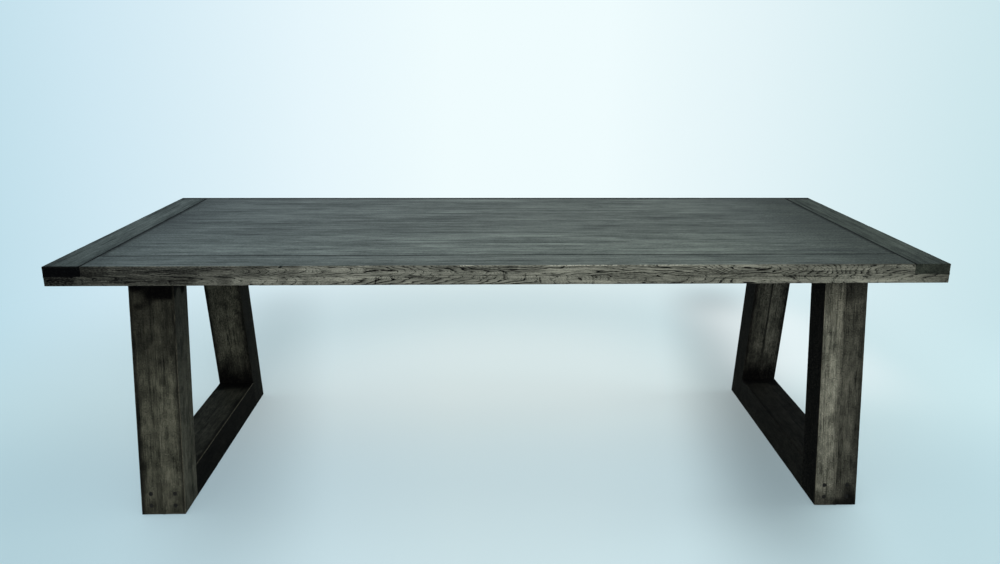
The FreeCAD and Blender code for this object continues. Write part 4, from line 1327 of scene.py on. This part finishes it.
def oak(name, tones, weights, tints=PLAIN_TINTS):
    """Builds a stained oak from its tones, pale to dark and rubbed, the weights of its parts,
    and its tints at the table's left and right end."""
    material, tree, surface = new_material(name)
    grain = put(tree, "Attribute", attribute_name="grain").outputs["Vector"]
    rings, pitch = attribute(tree, "rings"), attribute(tree, "pitch")
    parts = {part: spread(tree, grain, part, weights["fineness"]) for part in SPREADS}
    veins = ease(tree, parts.pop("vein"), 0.55, 0.7)
    depth = calc(tree, "MULTIPLY_ADD", veins, weights["vein"], weights["depth"])
    for part, value in parts.items():
        depth = weigh(tree, depth, value, weights[part])
    depth = line_depth(tree, depth, rings, pitch, parts, weights)
    shaded = dark_marks(tree, rings, pitch, parts["speck"])
    toned = blend_colours(tree, shaded, wood_colour(tree, depth, tones, tints), SPLIT_BLACK)
    rubbed = times(tree, attribute(tree, "rub"), ease(tree, parts["speck"], 0.40, 0.56))
    toned = blend_colours(tree, rubbed, toned, tones[3])
    rough = calc(tree, "MAXIMUM", calc(tree, "MULTIPLY_ADD", depth, 0.22, weights["matt"]), shaded)
    coat(tree, surface, {"Base Color": toned, "Roughness": rough, "Specular IOR Level": weights["shine"]},
         rest_of(tree, depth), weights["bump"], 0.0008)
    return material


print("the top's tints:", TOP_TINTS)

# %% [markdown]
# ## Five oaks from one recipe
# The top is closed and even, its end boards darker. The edges are rough and show the
# arches best. The frames are nearly black-brown with short upright fibres. The battens
# only got a thin coat.

# %% Mix the finishes
EVEN = {"depth": 0.46, "fibre": 1.0, "streak": 1.0, "dash": 0.7, "speck": 0.8, "patch": 1.0,
        "cloud": 0.2, "vein": 0.35, "fleck": 0.4, "rings": 0.25, "line": 0.0013, "bump": 0.3,
        "fineness": 1.0, "matt": 0.42, "shine": 0.15}
TOP_TONES = (colour(116, 121, 112), colour(81, 85, 79), colour(32, 35, 33), colour(160, 162, 148))
END_TONES = (colour(104, 109, 101), colour(73, 77, 72), colour(32, 35, 33), colour(120, 122, 112))
EDGE_TONES = (colour(150, 147, 132), colour(101, 100, 90), colour(16, 16, 15), colour(184, 182, 166))
FRAME_TONES = (colour(94, 91, 77), colour(60, 59, 49), colour(16, 16, 13), colour(112, 109, 94))
BATTEN_TONES = (colour(104, 100, 88), colour(80, 76, 68), colour(44, 42, 38), colour(120, 116, 104))
OAKS = {
    "top_oak": (TOP_TONES, {}, TOP_TINTS),
    "end_oak": (END_TONES, {"streak": 0.8, "vein": 0.3, "matt": 0.48, "shine": 0.04}, TOP_TINTS),
    "edging_oak": (EDGE_TONES, {
        "depth": 0.34, "fibre": 0.8, "streak": 0.65, "dash": 0.55, "speck": 0.9, "patch": 0.6,
        "vein": 0.3, "rings": 1.35, "bump": 0.5, "matt": 0.55, "shine": 0.02}, PLAIN_TINTS),
    "frame_oak": (FRAME_TONES, {
        "fineness": 1.7, "fibre": 0.75, "streak": 0.5, "dash": 0.4, "speck": 2.1, "fleck": 0.35,
        "patch": 0.8, "cloud": 0.9, "vein": 0.3, "bump": 0.5, "matt": 0.55, "shine": 0.02}, FRAME_TINTS),
    "batten_oak": (BATTEN_TONES, {"matt": 0.6}, PLAIN_TINTS)}
finishes = {name: oak(name, tones, {**EVEN, **changes}, tints)
            for name, (tones, changes, tints) in OAKS.items()}
for piece, names in made_timbers:
    for name in names:
        piece.data.materials.append(finishes[name])
print("oak finishes:", list(finishes))

# %% [markdown]
# ## The small pieces' finishes
# The plugs show end grain with fine dark dots. The felt is black and fuzzy, which a little
# sheen gives. The bolts and washers are zinc-plated steel, and the pegs are bare wood
# inside the joints.

# %% Finish the small pieces
SMALL = {
    "plug_wood": {"scale": (900, 900, 900), "detail": 2.0, "tones": (colour(31, 30, 26), colour(10, 9, 8)),
                  "fade": (0.4, 0.62), "rough": 0.6, "bump": (0.3, 0.0003),
                  "values": {"Specular IOR Level": 0.1}},
    "felt": {"scale": (1500, 1500, 1500), "detail": 4.0, "tones": (colour(34, 33, 32), colour(62, 60, 57)),
             "fade": (0.35, 0.65), "rough": 0.95, "bump": (0.6, 0.0004), "values": {"Sheen Weight": 0.3}},
    "zinc": {"scale": (180, 180, 180), "detail": 3.0, "tones": (colour(168, 168, 160), colour(205, 206, 208)),
             "rough": 0.22, "uneven": 0.25, "values": {"Metallic": 1.0}},
    "bare_wood": {"scale": (700, 700, 30), "detail": 3.0,
                  "tones": (colour(150, 118, 78), colour(196, 166, 122)), "rough": 0.65}}
PLUG_CLOUDS = ((60, 60, 60), (0.4, 0.6), colour(20, 19, 17))


def blotches(tree, scale, detail=2.0):
    """Lays noise over a piece, as fine along each axis as its scale says."""
    place = stretch(tree, object_place(tree), scale)
    return put(tree, "TexNoise", {"Vector": place, "Scale": 1.0, "Detail": detail}).outputs[0]


def small_finish(name, scale, detail, tones, rough, fade=None, uneven=0.0, bump=None, values=None):
    """Builds a finish from one noise, which mixes two tones and may change gloss and height."""
    material, tree, surface = new_material(name)
    pattern = blotches(tree, scale, detail)
    mixed = blend_colours(tree, ease(tree, pattern, *fade) if fade else pattern, *tones)
    if name == "plug_wood":
        cloud_scale, cloud_fade, cloud_tone = PLUG_CLOUDS
        clouds = ease(tree, blotches(tree, cloud_scale), *cloud_fade)
        mixed = blend_colours(tree, clouds, mixed, cloud_tone)
    gloss = calc(tree, "MULTIPLY_ADD", pattern, uneven, rough)
    values = {"Base Color": mixed, "Roughness": gloss, **(values or {})}
    coat(tree, surface, values, *((pattern, *bump) if bump else ()))
    return material


small = {name: small_finish(name, **recipe) for name, recipe in SMALL.items()}
for piece in plugs:
    piece.data.materials.append(small["plug_wood"])
for piece in pads:
    piece.data.materials.append(small["felt"])
carried = {name: node for name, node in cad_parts.items() if not node.hide_render}
for name, node in carried.items():
    node.data.materials.clear()
    node.data.materials.append(small["bare_wood" if name.startswith("breadboard_pegs") else "zinc"])
print("carried-over nodes:", list(carried))

# %% [markdown]
# ## The last settings
# The Standard view shows a colour as it was written.

# %% Finish
bpy.context.scene.view_settings.view_transform = "Standard"
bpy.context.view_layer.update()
triangles = sum(len(o.data.loops) - 2 * len(o.data.polygons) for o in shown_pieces() if o.type == "MESH")
print("triangles:", triangles)
